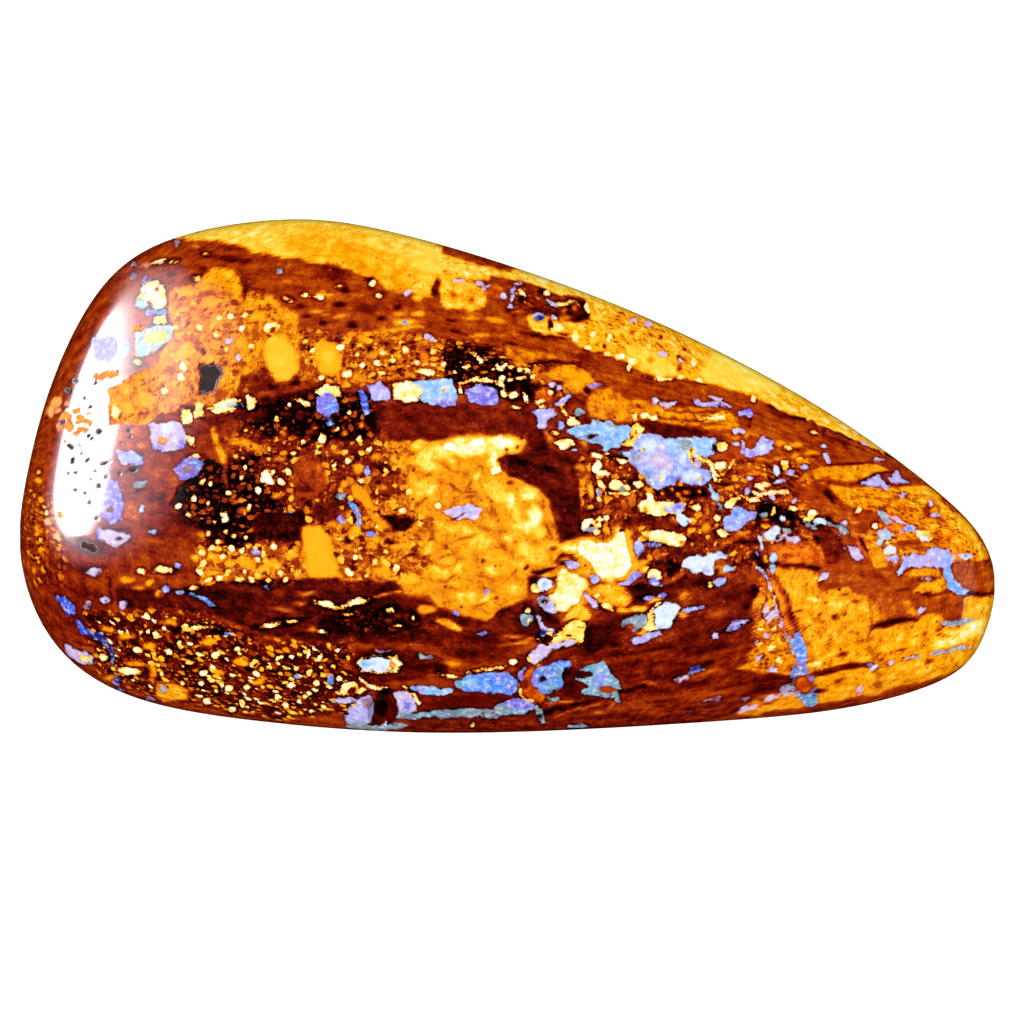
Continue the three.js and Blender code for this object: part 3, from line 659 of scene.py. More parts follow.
beads(AMBER, (-0.5, 6.5, 0.4, 0.1, -5), (-1.6, 6.6, 0.35, 0.07), (-1.2, 5.8, 0.4, 0.08))
beads(COPPER, (-2.2, 7.5, 0.15), (-1.5, 7.3, 0.12))

# Middle, from the black pebbles to the big amber mass
patch(CREAM, (-8.0, 3.4), (-7.5, 3.75), (-6.9, 3.7), (-6.7, 3.3), (-7.3, 3.2))
patch(VIOLET, (-7.9, 3.2), (-7.3, 3.4), (-6.9, 3.2), (-6.9, 2.7), (-7.3, 2.45), (-7.8, 2.6))
glow(BLUE, (-7.2, 2.8, 0.3, 0.25))
streak(ROYAL, 0.13, (-6.0, 3.5), (-5.85, 3.0), (-5.75, 2.5))
streak(BLACK, 0.15, (-5.75, 2.5), (-5.5, 1.95))
patch(LAVENDER, (-5.7, 3.7), (-5.2, 3.78), (-4.85, 3.6), (-4.9, 3.15), (-5.5, 3.1))
patch(CREAM, (-4.7, 3.7), (-4.0, 3.85), (-3.4, 3.7), (-3.45, 3.05), (-4.2, 2.98), (-4.65, 3.1))
patch(SKY, (-4.0, 3.8), (-3.2, 3.95), (-2.2, 3.97), (-2.1, 3.4), (-2.15, 2.85), (-2.8, 2.9), (-3.5, 3.0), (-3.8, 3.3))
glow(LAVENDER, (-2.6, 3.0, 0.6, 0.25))
glow(ICE, (-2.5, 3.6, 0.35, 0.2), (-3.6, 3.5, 0.2))
patch(0.95, (-4.3, 3.75), (-3.7, 3.8), (-3.45, 3.4), (-3.7, 3.1), (-4.3, 3.1))
streak(CREAM, 0.07, (-2.8, 3.3), (-2.55, 3.5), (-2.3, 3.4))
glow(VIOLET, (-2.5, 2.95, 0.5, 0.16))
streak(0.9, 0.08, (-1.95, 3.75), (-1.4, 3.95), (-0.8, 3.9), (-0.15, 3.7))
patch(VIOLET, (-1.7, 3.6), (-1.1, 3.75), (-0.5, 3.5), (-0.4, 3.0), (-1.0, 2.85), (-1.6, 2.95))
glow(LAVENDER, (-1.3, 3.5, 0.3, 0.2))
beads(CREAM, (-0.2, 3.4, 0.16, 0.12), (0.2, 3.4, 0.2, 0.13), (0.4, 2.85, 0.2, 0.08), (-1.9, 3.5, 0.1))
patch(0.22, (-5.6, 2.95), (-4.6, 2.98), (-3, 2.85), (-1.8, 2.85), (0, 2.75), (1.0, 2.6), (1.35, 2.4), (1.3, 1.95),
      (0.6, 1.72), (0, 1.68), (-0.9, 1.66), (-1.8, 1.62), (-2.7, 1.48), (-3.5, 1.37), (-4.5, 1.42), (-5.2, 1.9))
shade(0.27, 0.6, (-3.2, 2.2, 1.3, 0.3), (-0.4, 2.1, 0.9, 0.2))
beads(CREAM, (-9.55, 2.4, 0.14, 0.1), (-8.35, 2.95, 0.3, 0.1, -30), (-7.6, 1.55, 0.15, 0.2), (-6.1, 1.5, 0.12),
      (-8.4, 1.35, 0.12, 0.08), (-9.0, 2.9, 0.1), (-8.8, 2.2, 0.08), (-6.5, 2.6, 0.09), (-7.0, 1.9, 0.08))
beads(AMBER, (-6.75, 1.75, 0.16, 0.12), (-6.05, 2.05, 0.14), (-9.2, 1.7, 0.18, 0.1), (-8.0, 2.0, 0.16, 0.1))
beads(BLUE, (-7.35, 2.15, 0.12, 0.09))
patch(0.37, (-8.6, 0.75), (-7.9, 0.75), (-7.45, 0.3), (-7.4, -0.4), (-7.9, -0.85), (-8.6, -0.9), (-8.95, -0.3),
      (-8.85, 0.4))
shade(0.22, 0.8, (-8.4, -0.6, 0.5, 0.3, -20))
shade(0.44, 0.8, (-7.9, 0.3, 0.4, 0.35))
streak(DARK, 0.04, (-8.6, -0.1), (-8.3, -0.45), (-8.1, -0.6))
beads(AMBER, (-6.2, 0.25, 0.2), (-9.4, 0.6, 0.2, 0.12), (-5.4, 0.7, 0.25, 0.12), (-7.0, 1.0, 0.2, 0.1), (-6.7, -0.3, 0.15),
      (-5.2, -0.4, 0.2, 0.12), (-9.6, -0.8, 0.2, 0.12))
beads(CREAM, (-8.9, 0.85, 0.14, 0.1), (-9.05, 0.15, 0.1), (-9.35, -0.3, 0.12), (-5.0, 0.3, 0.1), (-6.6, 0.6, 0.1),
      (-5.7, 1.0, 0.1), (-7.1, 0.5, 0.08), (-6.0, -0.2, 0.08))
beads(VIOLET, (-5.8, 0.2, 0.11), (-6.85, -1.8, 0.14, 0.1))
beads(STEEL, (-6.8, -0.85, 0.16, 0.12))
streak(BLUE, 0.06, (-6.5, -1.1), (-6.2, -1.4), (-6.15, -1.7), (-6.2, -2.1))
streak(BLUE, 0.05, (-5.9, -2.3), (-5.5, -2.45))
beads(BLUE, (-9.1, -1.55, 0.14, 0.09))
patch(0.11, (-10.3, -1.5), (-8.5, -1.45), (-8.35, -2.1), (-8.5, -2.7), (-10.2, -2.7), (-10.5, -2.1))
patch(0.2, (-8.0, -1.1), (-7.0, -1.0), (-6.95, -1.8), (-7.6, -2.0), (-8.0, -1.8))
patch(0.67, (-8.5, -2.1), (-7.7, -2.0), (-7.4, -2.4), (-7.15, -3.2), (-7.0, -4.2), (-8.2, -4.25), (-8.45, -3.2))
smooth(1, (-8.5, -2.1), (-7.7, -2.0), (-7.15, -3.2), (-7.0, -4.2), (-8.2, -4.25), (-8.45, -3.2))
beads(0.62, (-5.95, -0.85, 0.7, 0.25, -50), (-5.3, -1.85, 0.5, 0.18, -42))
patch(0.08, (-5.3, -1.5), (-4.6, -1.6), (-4.2, -1.75), (-3.8, -1.9), (-4.2, -2.3), (-4.7, -2.2), (-4.9, -1.9))
beads(0.08, (-4.8, -2.7, 0.2, 0.1), (-5.9, -3.0, 0.2, 0.1), (-6.6, -2.6, 0.15), (-4.0, -3.3, 0.2, 0.08))
beads(CREAM, (-4.1, -0.65, 0.14, 0.1), (-4.3, -1.45, 0.12), (-2.85, -1.25, 0.12), (-6.3, -3.4, 0.12), (-5.5, -3.6, 0.12),
      (-6.6, -4.0, 0.14, 0.1), (-5.0, -3.1, 0.1), (-4.6, -3.8, 0.12), (-5.8, -4.1, 0.1), (-3.6, -2.8, 0.1))
beads(GOLD, (-5.6, -2.9, 0.3, 0.16), (-4.4, -2.9, 0.3, 0.14), (-5.2, -4.0, 0.35, 0.15), (-6.3, -2.2, 0.2), (-4.0, -4.3, 0.35, 0.2))

# The amber mass in the middle
smooth(0.2, (-5, 0), (-3.5, 1.3), (0.4, 1.4), (1.7, -1.2), (3.2, -3.8), (0.8, -5), (-1.3, -5.9), (-4.3, -4.8))
shade(CREAM, 0.95, (-1.7, 1.25, 1.3, 0.55, 6), (-0.2, 1.35, 0.9, 0.4))
shade(YELLOW, 0.95, (-3.2, 0.7, 0.9, 0.6), (-3.5, -0.6, 0.8, 0.6), (-0.6, -0.6, 0.7, 0.5), (-1.2, -2.8, 0.9, 0.5),
      (-2.8, -3.8, 0.8, 0.5), (0.4, -1.9, 0.5, 0.7), (-1.6, -4.9, 0.7, 0.4))
shade(GOLD, 0.9, (-4.4, 0.6, 0.6, 0.5), (-2.2, -2.2, 0.9, 0.3), (-0.4, -3.6, 0.8, 0.5), (-3.4, -2.8, 0.5, 0.4))
shade(ORANGE, 0.8, (-2.0, 0.0, 0.6, 0.3), (-3.0, -1.9, 0.6, 0.25), (-0.7, -4.6, 0.6, 0.3), (-2.2, -4.6, 0.5, 0.25),
      (-0.6, 0.4, 0.3, 0.4))
shade(0.93, 1, (-1.4, 1.2, 1.6, 0.45, 4), (-0.1, 1.3, 0.9, 0.4), (-0.5, 0.7, 0.4, 0.6))
shade(0.86, 0.9, (-2.9, 1.05, 0.7, 0.35), (-3.3, 0.4, 0.5, 0.3))
beads(WHITE, (-0.5, 0.2, 0.15), (-1.3, 1.35, 0.3, 0.14), (-2.4, 1.2, 0.22, 0.12))
beads(0.05, (-0.1, 1.1, 0.07), (-3.9, 0.3, 0.06), (-2.6, -2.9, 0.06), (-1.0, -3.5, 0.07), (-3.5, -3.3, 0.06), (-0.4, -5.1, 0.07))
patch(LILAC, (-2.7, -1.5), (-2.3, -1.25), (-1.6, -1.2), (-1.05, -1.4), (-1.3, -1.75), (-2.1, -1.85))
glow(LAVENDER, (-1.7, -1.4, 0.5, 0.25))
streak(DARK, 0.05, (-2.4, -1.85), (-2.0, -1.65), (-1.7, -1.5))
streak(RUST, 0.05, (-2.9, -0.25), (-2.3, -0.4), (-1.9, -0.75), (-1.3, -0.75))
beads(RUST, (-1.6, -0.95, 0.25, 0.07), (-3.3, 0.1, 0.2, 0.05, 30), (-0.9, -2.2, 0.3, 0.04, -20), (-2.6, -3.3, 0.3, 0.04, 15))
streak(COPPER, 0.05, (-4.2, -3.6), (-3.3, -3.4), (-2.6, -3.7), (-1.6, -3.9))
streak(COPPER, 0.05, (-3.6, -4.5), (-2.6, -4.3), (-1.9, -4.7))
streak(COPPER, 0.04, (-1.2, -0.2), (-0.6, -1.2), (-0.3, -2.4))
streak(COPPER, 0.05, (0.0, -2.3), (0.5, -3.0), (0.9, -3.6))
streak(COPPER, 0.06, (1.45, -1.0), (1.5, -2.0), (1.75, -2.7))
shade(CREAM, 0.95, (0.9, -0.7, 0.4, 0.4), (1.1, -1.8, 0.35, 0.7), (0.1, -1.0, 0.3, 0.45))
shade(YELLOW, 0.9, (1.2, -3.3, 0.6, 0.5), (1.9, -2.9, 0.3, 0.2), (0.3, -4.7, 0.4, 0.35))
streak(ORANGE, 0.07, (1.75, -1.0), (1.72, -1.7), (1.9, -2.4))
shade(0.90, 0.95, (0.75, -0.75, 0.45, 0.35, 20), (1.2, -1.5, 0.3, 0.5, 10), (0.75, -2.1, 0.35, 0.4), (0.1, -1.2, 0.3, 0.4))
beads(YELLOW, (0.4, -1.7, 0.2, 0.26), (1.3, -2.3, 0.22, 0.3), (-0.3, -0.9, 0.25, 0.3), (0.7, -3.0, 0.3, 0.25))
beads(DARK, (0.05, -0.35, 0.1, 0.05), (1.85, -3.05, 0.12, 0.08), (0.75, -3.75, 0.1))
streak(MAROON, 0.1, (2.0, -3.6), (2.25, -3.3), (2.5, -3.25), (2.8, -3.6))
for x, y, length, turn in ((-3.4, -0.9, 0.5, 40), (-2.6, 0.35, 0.4, -30), (-1.5, -0.3, 0.45, 60), (-0.2, -2.9, 0.4, -50),
                           (-1.9, -2.6, 0.5, 15), (-3.2, -2.3, 0.4, -60), (-2.3, -4.1, 0.45, 35), (-0.9, -4.2, 0.4, -25),
                           (0.3, -3.9, 0.35, 50), (-4.0, -3.9, 0.35, -20), (-1.1, -5.3, 0.3, 20), (-3.9, 0.9, 0.35, 25)):
    beads(0.36, (x, y, length, 0.06, turn))
    shade(0.86, 0.9, (x + 0.25, y + 0.3, 0.35, 0.22, turn))
beads(BLACK, (2.3, -3.65, 0.2, 0.12), (0.75, -3.78, 0.1), (1.3, -4.05, 0.14, 0.06))
streak(0.08, 0.09, (1.0, -4.0), (1.4, -4.0), (1.95, -3.8))
patch(MAROON, (0.85, -4.15), (1.15, -4.1), (1.5, -4.2), (2.0, -4.15), (1.95, -4.4), (1.2, -4.45), (0.9, -4.5))
patch(LAVENDER, (2.4, -3.6), (2.75, -3.6), (3.0, -3.8), (2.8, -3.95), (2.5, -3.8))

# Dark arrow and the slab joining it
patch(0.18, (0, 0.95), (1.1, 1.0), (0.75, 1.5), (0.85, 1.75), (1.35, 1.95), (1.6, 1.6), (1.6, 1.3), (1.9, 1.0),
      (2.9, 0.95), (3.0, 0.7), (2.75, 0.4), (2.8, 0.1), (3.0, -0.2), (2.8, -0.6), (2.9, -1.0), (3.05, -1.7),
      (3.1, -2.1), (2.6, -2.6), (2.2, -2.85), (2.0, -2.5), (1.95, -1.8), (1.75, -1.0), (1.2, -0.45),
      (0.7, -0.22), (0.2, -0.15), (-0.35, 0.3), (-0.45, 0.7))
shade(0.07, 0.8, (0.7, 0.5, 0.8, 0.35), (2.4, -1.6, 0.3, 0.7), (1.6, 0.3, 0.5, 0.3))
shade(0.2, 0.6, (2.4, 0.4, 0.4, 0.4), (1.3, 1.5, 0.3, 0.3))
beads(0.05, (0.35, 1.25, 0.08, 0.06), (0.5, 1.6, 0.09, 0.06))
patch(CREAM, (2.0, 1.35), (2.35, 1.5), (2.7, 1.42), (2.75, 1.25), (2.35, 1.1))
streak(ORANGE, 0.12, (1.6, 1.75), (1.8, 1.5), (2.0, 1.4))
beads(CREAM, (2.0, 1.75, 0.12, 0.08), (1.45, 2.88, 0.1))
streak(LILAC, 0.05, (2.6, 1.1), (2.85, 1.0))
patch(LAVENDER, (1.05, 2.7), (1.5, 2.78), (1.8, 2.72), (1.98, 2.5), (1.9, 2.33), (1.6, 2.3), (1.55, 1.9), (1.35, 1.88),
      (1.33, 2.35))
patch(0.24, (1.62, 2.2), (1.95, 2.2), (2.0, 2.0), (1.7, 1.98))
beads(PERIWINKLE, (2.2, 2.1, 0.11, 0.15))
streak(CREAM, 0.07, (2.15, 2.85), (2.35, 2.65), (2.5, 2.5))
patch(CREAM, (2.45, 2.2), (2.65, 2.45), (2.9, 2.4), (3.0, 2.15), (2.75, 2.03), (2.5, 2.05))
beads(BLACK, (2.9, 2.35, 0.07))
beads(STEEL, (3.0, 2.62, 0.14, 0.12))
streak(MAROON, 0.09, (3.25, 2.5), (3.3, 2.1))
patch(ORANGE, (1.1, 3.6), (1.7, 3.65), (1.9, 3.3), (1.5, 3.1), (1.15, 3.2))
streak(LAVENDER, 0.07, (1.95, 3.0), (2.25, 3.1), (2.55, 3.3))
beads(CREAM, (2.2, 2.98, 0.14, 0.07), (1.3, 3.15, 0.12, 0.08), (1.75, 3.45, 0.1))
streak(CREAM, 0.08, (0.6, 3.5), (0.75, 3.35), (0.75, 3.15), (0.85, 3.05))
beads(BLACK, (0.1, 3.75, 0.25, 0.15), (0.55, 3.7, 0.2, 0.12), (1.0, 3.5, 0.12), (0.2, 3.15, 0.3, 0.08))

# Light blue opal, left wing and the large patch
patch(SKY, (2.4, 1.8), (2.7, 1.97), (3.1, 2.07), (3.35, 1.97), (3.5, 2.25), (4.2, 2.22), (4.5, 2.07), (4.9, 2.12),
      (5.25, 1.95), (5.1, 1.6), (4.8, 1.4), (4.6, 1.2), (4.3, 1.17), (4.15, 1.0), (3.95, 1.0), (3.85, 1.3), (3.5, 1.35),
      (3.1, 1.5), (2.7, 1.62))
glow((0.50, 0.70, 0.95), (3.0, 1.85, 0.5, 0.2), (4.1, 1.5, 0.5, 0.35), (4.5, 1.65, 0.25, 0.3))
glow(STEEL, (4.4, 2.1, 0.5, 0.14), (3.6, 2.2, 0.2, 0.12), (3.55, 1.42, 0.2, 0.1))
beads(0.2, (3.4, 1.6, 0.27, 0.12))
patch(0.27, (4.45, 1.05), (4.8, 1.05), (5.2, 1.07), (5.2, 1.17), (4.75, 1.2), (4.5, 1.17))
patch(PERIWINKLE, (4.65, 0.95), (5.1, 1.0), (5.3, 1.15), (5.25, 1.4), (5.3, 1.7), (5.8, 1.75), (6.3, 1.65), (6.6, 1.48),
      (7.2, 1.57), (7.9, 1.52), (8.5, 1.5), (8.7, 1.3), (8.5, 1.1), (8.6, 0.9), (8.3, 0.82), (8.15, 0.6), (7.9, 0.4),
      (8.3, 0.2), (8.4, -0.1), (8.2, -0.35), (7.6, -0.38), (7.2, -0.22), (7.0, 0.0), (6.95, -0.32), (6.8, -0.42),
      (6.5, -0.35), (6.2, -0.55), (6.0, -0.42), (5.8, -0.2), (5.6, 0.1), (5.3, 0.35), (5.1, 0.6), (5.05, 0.8))
glow(SKY, (7.9, 1.15, 0.9, 0.55), (6.9, 1.25, 0.6, 0.4), (4.9, 0.92, 0.3, 0.1))
glow(LILAC, (6.2, 0.7, 0.55, 0.45), (5.45, 0.7, 0.35, 0.3), (6.6, 0.4, 0.4, 0.3))
glow(STEEL, (5.35, 0.75, 0.22, 0.25), (5.8, -0.05, 0.18, 0.25))
glow(ICE, (5.85, 1.25, 0.4, 0.35), (7.6, 0.0, 0.5, 0.25), (7.2, 0.75, 0.2, 0.3), (6.4, 0.0, 0.25, 0.3))
glow((0.97, 0.90, 0.90), (6.35, 1.2, 0.22, 0.14))
glow((0.50, 0.55, 0.97), (6.78, -0.15, 0.22, 0.2), (6.9, 0.35, 0.15))
beads(WHITE, (5.6, 1.05, 0.12, 0.09), (6.35, -0.1, 0.1, 0.16), (6.05, -0.25, 0.1), (6.65, 0.12, 0.08), (8.0, -0.15, 0.1))
patch(PALE, (5.2, 2.2), (5.45, 2.25), (5.65, 2.0), (5.45, 1.6), (5.25, 1.3), (4.9, 1.2), (4.5, 1.2), (4.8, 1.4),
      (5.05, 1.6), (5.1, 1.9))
streak(COPPER, 0.03, (5.35, 2.1), (5.3, 1.75), (5.1, 1.5))
patch(CREAM, (7.2, 1.1), (7.4, 1.25), (7.6, 1.1), (7.65, 0.85), (7.9, 0.6), (8.1, 0.45), (8.35, 0.4), (8.4, 0.1),
      (8.5, -0.15), (8.65, -0.3), (8.55, 0.3), (8.35, 0.55), (8.1, 0.7), (7.8, 0.95), (7.7, 1.2))
patch(CREAM, (7.3, 1.05), (7.45, 0.8), (7.6, 0.55), (7.75, 0.35), (7.9, 0.35), (7.8, 0.6), (7.65, 0.8), (7.55, 1.1))
streak(0.33, 0.06, (7.62, 0.75), (7.75, 0.45), (8.1, 0.28), (8.3, 0.33))
beads(0.34, (7.1, -0.1, 0.14, 0.07, -30), (8.45, 0.65, 0.12, 0.08))
ring(STEEL, CREAM, 7.35, 1.35, 0.13, 0.07)
patch(PALE, (8.6, 1.42), (9.0, 1.4), (9.15, 1.25), (9.1, 1.05), (8.8, 1.0), (8.6, 1.1))
beads(0.2, (8.5, 1.13, 0.12, 0.18))

# Streaky amber and the maroon slab above the opal
patch(0.55, (3.5, 3.75), (4.2, 3.65), (4.6, 3.35), (5.0, 3.15), (5.6, 3.1), (6.2, 2.92), (7.5, 2.8), (9, 2.72),
      (9.5, 2.45), (9.6, 2.0), (8.9, 1.9), (8.2, 1.95), (8, 2.12), (7, 2.1), (6.2, 2.32), (5.6, 2.35), (5, 2.25),
      (4.2, 2.25), (3.8, 2.35), (3.4, 2.5), (3.3, 3.0), (3.5, 3.4))
shade(0.45, 0.8, (4.3, 2.6, 0.6, 0.25), (6.6, 2.7, 0.9, 0.12), (8.6, 2.1, 0.7, 0.1))
streak(GOLD, 0.05, (5.8, 2.75), (7.5, 2.6), (9.3, 2.55))
streak(PALE, 0.05, (8.3, 2.45), (9.0, 2.32))
beads(CREAM, (8.15, 2.4, 0.12, 0.05), (6.1, 2.4, 0.14, 0.08), (5.25, 2.45, 0.1), (5.7, 2.5, 0.14, 0.07), (8.55, 2.5, 0.15, 0.04))
streak(MAROON, 0.04, (6.6, 2.72), (7.8, 2.62), (9.0, 2.7))
streak(MAROON, 0.04, (6.3, 2.45), (7.4, 2.32), (8.2, 2.35))
streak(MAROON, 0.04, (8.0, 2.2), (8.8, 2.15))
streak(0.2, 0.06, (5.35, 2.95), (5.5, 2.8))
streak(LILAC, 0.05, (6.35, 2.97), (6.7, 2.93), (7.0, 3.0))
beads(LILAC, (6.12, 3.08, 0.12, 0.1), (7.9, 2.97, 0.14, 0.1))
streak(LAVENDER, 0.07, (7.8, 2.95), (8.3, 2.97), (8.7, 2.98), (8.9, 3.18))
streak(LAVENDER, 0.08, (8.75, 3.15), (8.9, 3.0), (9.2, 2.88))
streak(LILAC, 0.05, (8.35, 3.25), (8.8, 3.15))
patch(VIOLET, (9.55, 2.7), (9.75, 2.78), (10.05, 2.75), (10.1, 2.5), (9.9, 2.4), (9.85, 2.55), (9.55, 2.52))
glow(LAVENDER, (9.7, 2.6, 0.2, 0.15))
patch(0.165, (5.65, 2.22), (6.3, 2.25), (7, 2.08), (7.8, 1.97), (8.3, 1.72), (8.0, 1.62), (7.4, 1.62), (6.6, 1.52),
      (6.1, 1.72), (5.75, 1.95))
streak(0.1, 0.05, (10.0, 2.85), (10.02, 2.3), (9.95, 1.9))
beads(LILAC, (9.5, 1.9, 0.12, 0.1), (9.75, 1.85, 0.08), (9.5, 1.3, 0.13, 0.1))
streak(LILAC, 0.07, (9.75, 1.45), (9.78, 1.2), (9.7, 0.9))
patch(LAVENDER, (9.75, 1.1), (10.1, 1.05), (10.3, 1.35), (10.45, 1.6), (10.75, 1.5), (10.95, 1.4), (10.95, 1.1),
      (10.6, 0.9), (10.2, 0.8), (9.85, 0.75))
glow(ICE, (10.5, 1.15, 0.25, 0.2))
glow(VIOLET, (10.8, 1.38, 0.2, 0.12), (10.1, 0.9, 0.15))
beads(0.55, (9.5, 1.6, 0.15, 0.08), (9.3, 0.55, 0.3, 0.08, 30), (9.9, 1.75, 0.1, 0.15))
beads(CREAM, (10.25, 3.25, 0.1, 0.14))

# Pebbles and broken white pieces below the opal
beads(ORANGE, (3.1, 1.3, 0.14, 0.18), (3.05, 0.35, 0.24, 0.13), (3.3, -0.1, 0.15), (8.25, -1.35, 0.1, 0.22), (6.9, -1.85, 0.2, 0.1))
patch(0.26, (3.2, 1.3), (3.6, 1.3), (3.9, 1.15), (3.8, 1.0), (3.3, 1.05))
beads(WHITE, (3.75, 0.38, 0.17, 0.22), (4.05, 0.1, 0.25, 0.12), (4.55, -0.35, 0.26, 0.24), (3.95, -0.35, 0.1, 0.26, 15),
      (3.6, 0.85, 0.2, 0.09, -20), (4.9, -0.45, 0.14), (3.85, -0.85, 0.09, 0.2), (3.6, -2.3, 0.14, 0.1))
beads(STEEL, (4.75, -0.5, 0.12), (3.85, -0.75, 0.07, 0.12))
beads(YELLOW, (3.5, -0.65, 0.15, 0.3), (3.1, -0.6, 0.14, 0.08))
beads(0.36, (4.95, 0.35, 0.35, 0.2), (4.3, 0.35, 0.2, 0.12))
beads(CREAM, (4.75, 0.42, 0.05), (5.1, 0.3, 0.05), (5.4, -0.35, 0.14, 0.1), (3.45, -1.3, 0.14, 0.08))
streak(CREAM, 0.05, (4.1, 0.85), (4.6, 0.65), (5.0, 0.62))
streak(0.1, 0.05, (4.0, 0.72), (4.6, 0.78), (5.0, 0.75))
beads(BLACK, (5.1, -0.2, 0.12, 0.16), (5.35, 0.0, 0.06, 0.14), (4.4, -0.6, 0.2, 0.06), (4.9, -0.05, 0.1, 0.05))
streak(PALE, 0.05, (4.3, -0.75), (4.9, -0.7), (5.4, -0.55))
patch(CREAM, (5.6, -0.75), (5.8, -0.6), (6.0, -0.85), (6.2, -1.05), (7.0, -1.05), (7.35, -1.12), (7.4, -1.35), (7.1, -1.55),
      (6.5, -1.62), (5.9, -1.6), (5.5, -1.5), (5.35, -1.2), (5.6, -1.0), (5.8, -0.98))
patch(LAVENDER, (6.4, -1.3), (6.7, -1.25), (7.1, -1.1), (7.35, -1.2), (7.3, -1.45), (7.0, -1.5), (6.6, -1.5))
glow(VIOLET, (7.05, -1.3, 0.3, 0.18))
beads(YELLOW, (5.8, -0.55, 0.16, 0.1), (5.55, -1.4, 0.12, 0.08))
patch(0.05, (6.0, -0.55), (7.2, -0.45), (8.2, -0.5), (8.3, -0.9), (7.5, -0.95), (6.5, -0.92), (6.15, -0.8))
beads(0.72, (6.4, -0.7, 0.09), (6.8, -0.6, 0.08), (7.4, -0.7, 0.1, 0.07), (7.9, -0.65, 0.08), (7.1, -0.82, 0.08))
streak(ORANGE, 0.05, (4.3, -1.2), (4.8, -1.28), (5.3, -1.27))
patch(0.17, (4.7, -1.75), (5.5, -1.68), (6.6, -1.75), (6.9, -1.95), (8.0, -2.05), (7.5, -2.2), (6.5, -2.12), (5.5, -2.15),
      (4.9, -2.0))
ring(WHITE, 0.2, 3.3, -2.0, 0.28, 0.13)
beads(STEEL, (3.35, -2.2, 0.2, 0.08))
beads(CREAM, (3.8, -1.85, 0.16, 0.1), (4.15, -1.8, 0.14), (7.75, -1.25, 0.16, 0.1), (3.75, -2.1, 0.1))
beads(ICE, (7.3, -1.85, 0.24, 0.2), (7.2, -1.65, 0.12))
beads(BLACK, (7.42, -1.9, 0.07), (3.9, -2.0, 0.08))
shade(0.12, 0.7, (2.6, -1.4, 0.5, 0.9), (4.0, -1.35, 0.9, 0.15))

# White and pale mass, middle right
patch(0.72, (2.1, -2.95), (2.6, -2.72), (3.1, -2.5), (3.6, -2.55), (3.9, -2.7), (4.3, -2.5), (4.4, -2.25), (4.6, -2.1),
      (5.0, -2.15), (5.2, -2.35), (5.1, -2.6), (5.2, -3.2), (5.4, -3.6), (5.9, -3.7), (5.8, -4.0), (5.0, -4.3),
      (4.2, -4.4), (3.6, -4.2), (3.3, -3.7), (2.7, -3.3), (2.3, -3.2))
patch(0.97, (2.9, -2.75), (3.3, -2.65), (3.9, -2.8), (4.4, -2.6), (4.6, -2.25), (4.85, -2.4), (4.85, -2.9), (4.95, -3.3),
      (5.1, -3.7), (4.9, -4.15), (4.2, -4.3), (3.7, -4.1), (3.4, -3.6), (3.0, -3.3))
shade(PALE, 0.8, (2.6, -3.0, 0.4, 0.2), (3.2, -2.75, 0.3, 0.15), (4.2, -4.2, 0.4, 0.1))
streak(BLACK, 0.07, (4.65, -2.35), (4.85, -2.15))
patch(0.95, (2.05, -4.0), (2.4, -3.9), (2.8, -4.1), (3.2, -4.2), (3.4, -4.5), (3.1, -4.9), (2.95, -5.2), (2.6, -5.45),
      (2.3, -5.62), (2.0, -5.5), (1.9, -5.2), (1.6, -5.1), (1.7, -4.9), (2.0, -4.8), (2.05, -4.4))
shade(PALE, 0.9, (2.6, -4.4, 0.5, 0.4))
shade(YELLOW, 0.9, (3.2, -4.6, 0.2, 0.3), (2.2, -4.05, 0.25, 0.12))
patch(0.66, (3.45, -4.75), (3.75, -4.45), (4.4, -4.4), (4.9, -4.6), (5.15, -5.0), (5.0, -5.3), (4.4, -5.4), (3.8, -5.3),
      (3.6, -5.0))
beads(CREAM, (4.15, -5.45, 0.2, 0.12), (5.5, -4.72, 0.2, 0.19), (3.75, -4.95, 0.1), (5.75, -3.85, 0.16, 0.1))
streak(LILAC, 0.1, (3.2, -4.8), (3.5, -5.15), (3.85, -5.5))
beads(PERIWINKLE, (3.55, -4.25, 0.14, 0.12), (5.35, -3.0, 0.15, 0.28))
streak(LAVENDER, 0.07, (4.6, -4.45), (5.0, -4.38), (5.25, -4.15), (5.5, -4.05))
beads(VIOLET, (5.3, -4.12, 0.16, 0.13))
beads(CREAM, (6.1, -4.12, 0.26, 0.24), (1.25, -4.6, 0.24, 0.16))
patch(VIOLET, (5.85, -4.4), (6.05, -4.2), (6.3, -4.4), (6.35, -4.6), (6.0, -4.55))
beads(ICE, (1.55, -4.48, 0.28, 0.2))
glow(PERIWINKLE, (1.6, -4.45, 0.14))
patch(LAVENDER, (1.3, -5.1), (1.5, -4.9), (1.8, -4.9), (1.95, -5.2), (2.0, -5.6), (1.6, -5.55), (1.35, -5.35))
glow(STEEL, (1.45, -5.25, 0.25, 0.2))
ring(DARK, CREAM, 1.58, -5.18, 0.15, 0.07)
beads(BLACK, (1.5, -5.05, 0.1, 0.06), (6.75, -3.6, 0.2, 0.12), (6.8, -3.95, 0.28, 0.16), (7.0, -3.75, 0.2, 0.15))
patch(CREAM, (5.45, -2.45), (5.9, -2.28), (6.5, -2.22), (7.1, -2.35), (7.42, -2.6), (7.2, -2.82), (6.7, -2.85), (6.2, -2.75),
      (5.6, -2.6))
beads(LILAC, (6.1, -2.8, 0.28, 0.1))
beads(NAVY, (5.95, -2.75, 0.13, 0.1))
beads(0.66, (5.75, -2.35, 0.14, 0.07), (6.3, -3.3, 0.2, 0.08), (5.6, -3.55, 0.2, 0.12), (7.15, -2.7, 0.14, 0.06))
